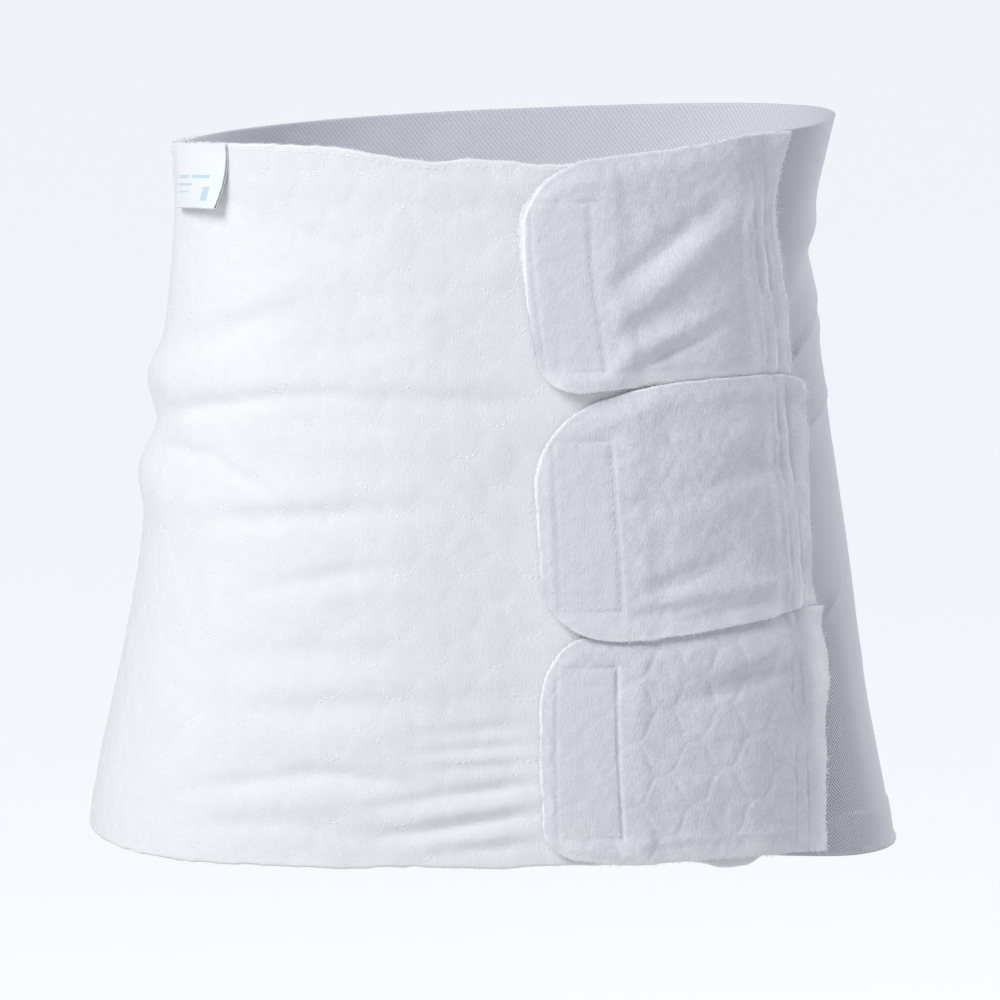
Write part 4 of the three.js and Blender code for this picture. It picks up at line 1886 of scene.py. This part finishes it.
@dataclass(kw_only=True)
class LowerTab(Tab):
    """The lower tab, whose raw edge curls most."""

    flat_run: float = 0.121
    tip: float = 6.4
    slant: float = 0.3
    top_corner: Corner = Corner(6.5, 25)
    bottom_corner: Corner = Corner(4, 12)
    top: Table = Table(
        (
            (4, -40.6), (11, -39.8), (15, -39.5), (20, -40.1), (30, -37.6), (39, -35.2), (46, -33.8),
            (52, -32.9), (56, -32.3), (60, -32.4),
        ),
    )
    bottom: Table = Table(
        ((4, -120.6), (10, -121.6), (16, -124.2), (27, -123.1), (38, -122.9), (56, -124))
    )
    raw_edge: Table = Table(
        ((-124, 49.4), (-102, 51.9), (-85, 53.5), (-68, 54.8), (-50, 56), (-34, 56.6)), ("z", "turn")
    )
    seam: Table = Table(
        (
            (-122, 43.7, 46.4), (-97, 45.6, 48.4), (-67, 47, 49.9), (-38, 47.8, 50.6),
        ),
        ("z", "inner", "outer"),
    )
    hook: HookPlace = HookPlace(12.6, -0.2, -114, -51, 8.2)
    folds: tuple[Fold, ...] = (
        Fold(40, -48.6, 0.38, 18, 4.5, 1.5), Fold(39.2, -57.1, 0.57, 16, 3.4, -1.8),
        Fold(28, -100, -0.2, 14, 8, 0.6), Fold(33, -75, 0.3, 14, 8, 0.5),
    )
    quilting: Quilting = Quilting(
        shift=2.0, rise=6.0, tilt=1.0, groove=0.24, groove_width=0.9, puff=0.08, trough_share=0.25,
        other_share=0.08,
    )
    seed: int = 61
    flare: float = 2.2
    curl: float = 4.6
    # Stronger painted highlight over the lower tab's curled flap.
    painted_flap_highlight: float = 1.1
    crumple: float = 0.06


@dataclass
class BackPanel(ClothPiece):
    """Stretch net round the back, with a hem at its lower edge and a seam under the front panel.

    Turns are in degrees, heights and lifts in mm, and the flat size in metres. Its points lie close
    together over the shown turns beside the tabs. A pair is where something starts and is full.
    """

    flat_size: Pair = (0.44, 0.274)
    rim_radius: float = 0.6
    end: float = 256.0
    sweep: float = 213.0
    shown: float = 46.0
    shown_step: float = 0.55
    shown_rim: tuple[float, ...] = (0.0, 0.2, 0.5)
    step: float = 1.6
    tall: float = 272.0
    usual_edges: Pair = (-124.0, 147.0)
    row_rim: tuple[float, ...] = (0.0, 0.35, 0.9, 1.7, 2.6, 3.4)
    hem_rows: tuple[float, ...] = (-0.004, -0.002, 0.0, 0.002)
    hem_height: float = 16.0
    hem_step: float = 0.6
    hem_fold: float = 0.7
    hem_closed: float = 0.45
    bead: float = 0.8
    bead_height: float = 1.2
    bead_width: float = 1.1
    bead_inner: float = 0.3
    closed_height: float = 0.8
    closed_width: float = 1.4
    freed: Pair = (58.5, 64.0)
    held: Pair = (22.0, 14.0)
    soft_lifts: Pair = (0.5, 0.2)
    broad: Unevenness = Unevenness(11, 40.0)
    fine: Unevenness = Unevenness(12, 15.0)
    stretched_turns: Pair = (60.0, 74.0)
    stretched_heights: Pair = (-65.0, -25.0)
    see_through_and_shade_turns: Pair = (57.0, 100.0)
    top: Table = Table(
        ((40, 145.5), (62, 147.4), (90, 149.4), (135, 148), (180, 144), (225, 139), (258, 136.6))
    )
    bottom: Table = Table(
        ((40, -124), (62, -128.8), (90, -131), (135, -129), (180, -126), (225, -124), (258, -123))
    )
    folds: tuple[Fold, ...] = (
        Fold(70, 67.5, 0.85, 22, 1.9, 2.4), Fold(70, 61, 0.85, 20, 4.5, -1.6),
        Fold(66, 76, 0.9, 16, 4, -1.4), Fold(72, 38, 0.52, 17, 1.8, 2),
        Fold(72, 32.5, 0.52, 16, 3.5, -1.2), Fold(74, 45, 0.3, 16, 5, 0.8),
        Fold(66, -33, 0.9, 11, 1.7, 2), Fold(74, 88, 0.6, 14, 4, -1.6),
        Fold(88, 107, 0.1, 30, 6, 1.3), Fold(88, 96, 0.1, 26, 5, -1.3), Fold(88, 81, 0.15, 28, 6, 0.9),
        Fold(88, 69, 0.2, 24, 4.5, 1), Fold(150, 30, 0.05, 60, 14, 1.6),
        Fold(205, 5, -0.05, 55, 13, 1.5), Fold(175, -20, 0.04, 60, 16, -1.2),
    )

    def grid(self) -> tuple[Array, Array]:
        """Lay out points from under the tabs to under the front panel, close together at the hem.

        Returns:
            Their turns and heights.
        """
        hidden = self.sweep - self.shown
        even = np.arange(self.shown_rim[-1], self.shown, self.shown_step)
        close = np.concatenate([self.shown_rim[:-1], even])
        wide = self.shown + hidden * spaced(hidden, self.step, COLUMN_RIM)
        columns = np.concatenate([close, wide]) / self.sweep
        hem = self.hem_height / self.tall + np.array(self.hem_rows)
        rows = np.sort(np.concatenate([spaced(self.tall, self.step, self.row_rim), hem]))
        height = mix(*self.usual_edges, rows)[:, None]
        turn = mix(CLOSURE.read("net_edge", height), self.end, columns[None, :])
        return turn, mix(self.bottom.read("z", turn), self.top.read("z", turn), rows[:, None])

    def edge_distance(self, turn: Array, z: Array) -> Array:
        """Distance from the nearest of the four edges."""
        edges = (self.bottom.read("z", turn), self.top.read("z", turn))
        return self.inside(turn, z, (CLOSURE.read("net_edge", z), self.end), edges)

    def hem_share(self, turn: Array, z: Array) -> Array:
        """1 on the folded hem, 0 above it."""
        above = z - self.bottom.read("z", turn)
        return 1 - ease(above, self.hem_height - self.hem_step, self.hem_height + self.hem_step)

    def faces_out(self, turn: Array, z: Array) -> tuple[Array, Array]:
        """Folds, then the hem's second layer and the rolled bead along its lower edge.

        Args:
            turn: Turns.
            z: Heights.

        Returns:
            How far the outer and the inner face lie off the body.
        """
        held = ease(turn, self.end - self.held[0], self.end - self.held[1])
        free = ease(turn, *self.freed) * (1 - held)
        along = self.body.along(turn, z)
        soft = self.soft_lifts[0] * self.broad.at(along, z) + self.soft_lifts[1] * self.fine.at(along, z)
        base = free * (fold_lift(self.folds, turn, z) + soft)
        above = z - self.bottom.read("z", turn)
        hem = self.hem_fold * self.hem_share(turn, z)
        bead = self.bead * bell(above - self.bead_height, self.bead_width)
        return base + self.layers.net + free * (hem + bead), base - free * self.bead_inner * bead

    def masks(self, turn: Array, z: Array) -> dict[str, Array]:
        """Closed on the bead, half closed on the hem; darker beside the tabs, for the body seen through
        and as painted shade; stretched low down.

        Args:
            turn: Turns.
            z: Heights.

        Returns:
            The numbers at each point, by name.
        """
        bead = bell(z - self.bottom.read("z", turn) - self.closed_height, self.closed_width)
        beside_tabs = 1 - ease(turn, *self.stretched_turns)
        return {
            "doubled": np.maximum(bead, self.hem_closed * self.hem_share(turn, z)),
            "stretched": beside_tabs * (1 - ease(z, *self.stretched_heights)),
            # Darker beside the tabs, fading by the side: partly the body seen through, partly painted
            # shade.
            "see_through_and_shade": 1 - ease(turn, *self.see_through_and_shade_turns),
        }


@dataclass(kw_only=True)
class HookStrip(ClothPiece):
    """Hook tape between a tab and the front panel, with sizes in mm."""

    where: HookPlace
    rim_radius: float = 0.3
    wide: float = 23.0
    tall: float = 63.0
    step: float = 0.7
    row_rim: tuple[float, ...] = (0.0, 0.2, 0.5)
    hook_pitch: float = 1.4
    hook_height: float = 0.25

    def grid(self) -> tuple[Array, Array]:
        """Lay out points across the tape and along it.

        Returns:
            Their turns and heights.
        """
        across = spaced(self.wide, self.step, self.row_rim)[None, :] - 0.5
        rows = spaced(self.tall, self.step, self.row_rim)[:, None]
        z = mix(self.where.bottom, self.where.top, rows)
        turn = self.where.turn_of_middle(z) + self.where.width * across
        return turn, np.broadcast_to(z, turn.shape)

    def edge_distance(self, turn: Array, z: Array) -> Array:
        """Distance from the tape's nearest edge."""
        return np.maximum(self.where.inside(turn, z, self.body.speed(turn, z)), 0.0)

    def faces_out(self, turn: Array, z: Array) -> tuple[Array, Array]:
        """A flat tape whose inner face has rows of small hooks.

        Args:
            turn: Turns.
            z: Heights.

        Returns:
            How far the outer and the inner face lie off the body.
        """
        across = np.cos(np.pi * self.body.along(turn, z) / self.hook_pitch)
        upright = np.cos(np.pi * z / self.hook_pitch)
        hooks = self.hook_height * np.square(across * upright)
        inner = self.layers.cloth + self.layers.gap
        return np.full_like(turn, inner + self.layers.hook), inner + self.hook_height - hooks

    def masks(self, turn: Array, z: Array) -> dict[str, Array]:
        """The tape's finish reads no numbers."""
        return {}


@dataclass
class SizeLabel:
    """Tape folded in two that hangs from the front panel's upper edge.

    Middle, width and lean are in degrees, and the other sizes in mm. Its lower corners swing away
    from the panel, and its front layer billows.
    """

    body: BodyForm
    layers: Layers
    panel: FrontPanel
    name: str = "size_label_tape"
    middle: float = -61.5
    width: float = 21.0
    flat_width: float = 34.0
    drop: float = 24.5
    below: float = 0.6
    fold: float = 0.7
    lean: float = -2.2
    outer_swing: float = 0.8
    inner_swing: float = 4.2
    billow: float = 0.5
    step: float = 0.8
    row_rim: tuple[float, ...] = (0.0, 0.15, 0.4)
    bend_points: int = 10

    def build(self, material: Material) -> Piece:
        """Carry the tape down its back layer, round the fold and up its front layer.

        Args:
            material: Finish of the tape.

        Returns:
            The piece: a profile of two straights and a half circle, carried across the label.
        """
        half = self.fold / 2 + self.layers.label
        straight = self.drop - half
        bend = math.pi * half
        layer = spaced(straight, self.step, self.row_rim) * straight
        round_fold = straight + np.linspace(0, bend, self.bend_points)[1:-1]
        run = np.concatenate([layer, round_fold, straight + bend + layer])[:, None]
        share = spaced(self.flat_width, self.step, self.row_rim)[None, :]
        faces = [self.face(run, share, half - inset) for inset in (0.0, self.layers.label)]
        up = run - (2 * straight + bend) + self.drop
        cloth = np.stack(np.broadcast_arrays(share * self.flat_width, up), axis=-1)
        walls = [wall_faces(len(run), share.shape[1])]
        piece = put_mesh(self.name, np.stack(faces), walls, material, np.stack([cloth, cloth]))
        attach(piece, BODY)
        LOG.info("%s: %d faces", self.name, len(piece.data.polygons))
        return piece

    def face(self, run: Array, share: Array, radius: float) -> Array:
        """One face of the tape.

        Args:
            run: Length along the tape from its back layer's upper end.
            share: Share of the way across the label.
            radius: Radius of this face round the fold.

        Returns:
            The face's points.
        """
        half = self.fold / 2 + self.layers.label
        straight = self.drop - half
        bend = math.pi * half
        angle = np.clip((run - straight) / half, 0.0, math.pi)
        back = np.minimum(run, straight)
        front = np.maximum(run - straight - bend, 0.0)
        down = back - front + radius * np.sin(angle)
        across = -radius * np.cos(angle)
        upper = self.middle + self.width * (share - 0.5)
        top = self.panel.top.read("z", upper) - self.below
        hang = np.square(down / self.drop)
        swing = mix(self.outer_swing, self.inner_swing, share) * hang
        billow = np.sin(np.pi * share) * np.sin(np.pi * np.clip(down / self.drop, 0, 1))
        billow = self.billow * billow * (across > 0)
        out = self.layers.cloth + self.layers.gap + half + across + swing + billow
        return self.body.place(upper + self.lean * hang, top - down, out)


@dataclass(frozen=True)
class Lamp:
    """A square soft light: where it hangs and the length of its side, in metres, and its watts."""

    name: str
    place: tuple[float, float, float]
    size: float
    power: float


@dataclass
class Studio:
    """Camera at the photograph's viewing angle, a pale floor and soft light, in metres."""

    distance: float = 3.6
    elevation: float = 6.5
    target: tuple[float, float, float] = (0.0031, 0.0, 0.0)
    mm_per_pixel: float = 0.385
    frame_pixels: float = 1000.0
    floor_height: float = -0.8
    floor_half: float = 90.0
    sight: float = 200.0
    room_colour: Colour = (0.84, 0.915, 1.0, 1.0)
    room_strength: float = 0.28
    lamps: tuple[Lamp, ...] = (
        Lamp("key", (-2.32, -1.95, 2.53), 2.0, 108.0),
        Lamp("fill", (0.8, -3.2, 1.6), 2.0, 6.0),
        Lamp("rim", (2.8, 2.1, 1.4), 1.5, 66.0),
    )

    def build(self) -> None:
        """Set up the floor, the lights, the world and the camera."""
        self.floor()
        for lamp in self.lamps:
            self.hang(lamp)
        self.world()
        self.camera()

    def floor(self) -> None:
        """Lay a flat floor below the band."""
        side = np.array([-self.floor_half, self.floor_half]) / MM
        x, y = np.meshgrid(side, side)
        points = np.stack([x, y, np.full_like(x, self.floor_height / MM)], axis=-1)
        floor = put_mesh("floor", points, [np.array([[0, 1, 3, 2]])], FloorFinish().material())

    def hang(self, lamp: Lamp) -> None:
        """Hang a soft light that faces the band.

        Args:
            lamp: The light.
        """
        data = bpy.data.lights.new(lamp.name, "AREA")
        data.size = lamp.size
        data.energy = lamp.power
        light = bpy.data.objects.new(lamp.name, data)
        back = np.array(lamp.place) / np.linalg.norm(lamp.place)
        light.location = lamp.place
        light.rotation_euler = (math.acos(back[2]), 0.0, math.atan2(back[0], -back[1]))
        bpy.context.scene.collection.objects.link(light)

    def world(self) -> None:
        """Fill the room with even pale light."""
        world = bpy.data.worlds.new("room")
        world.use_nodes = True
        room = world.node_tree.nodes["Background"]
        room.inputs["Color"].default_value = self.room_colour
        room.inputs["Strength"].default_value = self.room_strength
        bpy.context.scene.world = world
        bpy.context.scene.view_settings.view_transform = "Standard"

    def camera(self) -> None:
        """Stand the camera in front, slightly above, with a long lens."""
        data = bpy.data.cameras.new("camera")
        pixels = self.distance / (self.mm_per_pixel * MM)
        data.lens = data.sensor_width * pixels / self.frame_pixels
        data.clip_end = self.sight
        camera = bpy.data.objects.new("camera", data)
        angle = math.radians(self.elevation)
        x, y, z = self.target
        back, up = self.distance * math.cos(angle), self.distance * math.sin(angle)
        camera.location = (x, y - back, z + up)
        camera.rotation_euler = (math.pi / 2 - angle, 0.0, 0.0)
        bpy.context.scene.collection.objects.link(camera)
        bpy.context.scene.camera = camera


@dataclass
class BellyBand:
    """The whole band: its panels, tabs, hook tapes and label, with their finishes."""

    body: BodyForm = BodyForm()
    layers: Layers = Layers()
    # Painted shade: the tabs' pile is a darker, bluer copy of the front's white pile, standing in for the
    # shade that the tabs lie in; its raw colour is the painted highlight.
    shaded_tab_finish: PileFinish = PileFinish(
        "tab_pile_painted_shade",
        light=(0.805, 0.803, 0.86, 1.0),
        shade=(0.71, 0.708, 0.77, 1.0),
        pressed=(0.805, 0.797, 0.843, 1.0),
        raw=(0.97, 0.97, 1.0, 1.0),
        painted_recess_shade=1.1,
        bump=0.38,
    )
    # Painted shade: the tabs' stitches are a darker copy of the white thread, to match the shaded tabs.
    tab_thread_painted_shade: ThreadFinish = ThreadFinish(
        "tab_thread_painted_shade", light=(0.83, 0.84, 0.89, 1.0), shade=(0.77, 0.78, 0.83, 1.0)
    )
    front_fuzz: Fuzz = Fuzz(71)
    tab_fuzz: Fuzz = Fuzz(81)
    tab_fray: Fuzz = Fuzz(91, per_mm=10.0, length=0.9, spread=0.5, radius=0.1)

    def build(self) -> None:
        """Build every piece and hide the imported part that it replaces."""
        pile, thread = PileFinish().material(), ThreadFinish().material()
        tab_pile_painted_shade, tab_thread_painted_shade = self.shaded_tab_finish.material(), self.tab_thread_painted_shade.material()
        panel = FrontPanel("front_panel_quilt", self.body, self.layers, Slot.PILE)
        front = panel.build(pile)
        raw_edges = {Edge.TOP: 0.6, Edge.BOTTOM: 0.4}
        front_extras = [
            panel.quilt_stitches(thread),
            self.front_fuzz.grow("front_panel_fuzz", panel, raw_edges, thread),
        ]
        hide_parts("front_panel")
        net = BackPanel("back_panel_net", self.body, self.layers, Slot.NET)
        back = net.build(NetFinish().material())
        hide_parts("back_panel")
        hook_finish = HookFinish().material()
        tabs = {"upper": UpperTab, "middle": MiddleTab, "lower": LowerTab}
        for number, (which, kind) in enumerate(tabs.items()):
            tab = kind(f"{which}_tab_quilt", self.body, self.layers, Slot.PILE)
            self.tab(tab, f"{which}_tab", number, tab_pile_painted_shade, thread, tab_thread_painted_shade)
            self.hook_strip(f"{which}_hook_strip", tab.hook, hook_finish)
        label = SizeLabel(self.body, self.layers, panel)
        tape = label.build(LabelFinish().material())
        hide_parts("size_label")

    def tab(
        self, tab: Tab, node: str, number: int, pile: Material, thread: Material, sewn: Material
    ) -> None:
        """Build one tab with its stitches and its fuzz.

        Args:
            tab: The tab.
            node: The node that it replaces.
            number: Its number from the top.
            pile: Finish of the cloth.
            thread: Finish of the fibres.
            sewn: Finish of the stitches.
        """
        cloth = tab.build(pile)
        fuzz = replace(self.tab_fuzz, seed=self.tab_fuzz.seed + number)
        fray = replace(self.tab_fray, seed=self.tab_fray.seed + number)
        raw_edges = {Edge.TOP: 0.8, Edge.BOTTOM: 0.7, Edge.START: 0.6}
        extras = [
            tab.quilt_stitches(sewn),
            fuzz.grow(f"{node}_fuzz", tab, raw_edges, thread),
            fray.grow(f"{node}_fray", tab, {Edge.END: 1.0}, thread),
        ]
        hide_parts(node)

    def hook_strip(self, node: str, where: HookPlace, finish: Material) -> None:
        """Build the hook tape under a tab.

        Args:
            node: The node that it replaces.
            where: Where it lies.
            finish: Finish of the tape.
        """
        strip = HookStrip(f"{node}_tape", self.body, self.layers, Slot.HOOK, where=where)
        tape = strip.build(finish)
        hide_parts(node)


def main() -> None:
    """Load the frame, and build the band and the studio."""
    logging.basicConfig(level=logging.INFO, format="%(message)s")
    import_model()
    Studio().build()
    BellyBand().build()


if __name__ == "__main__":
    main()
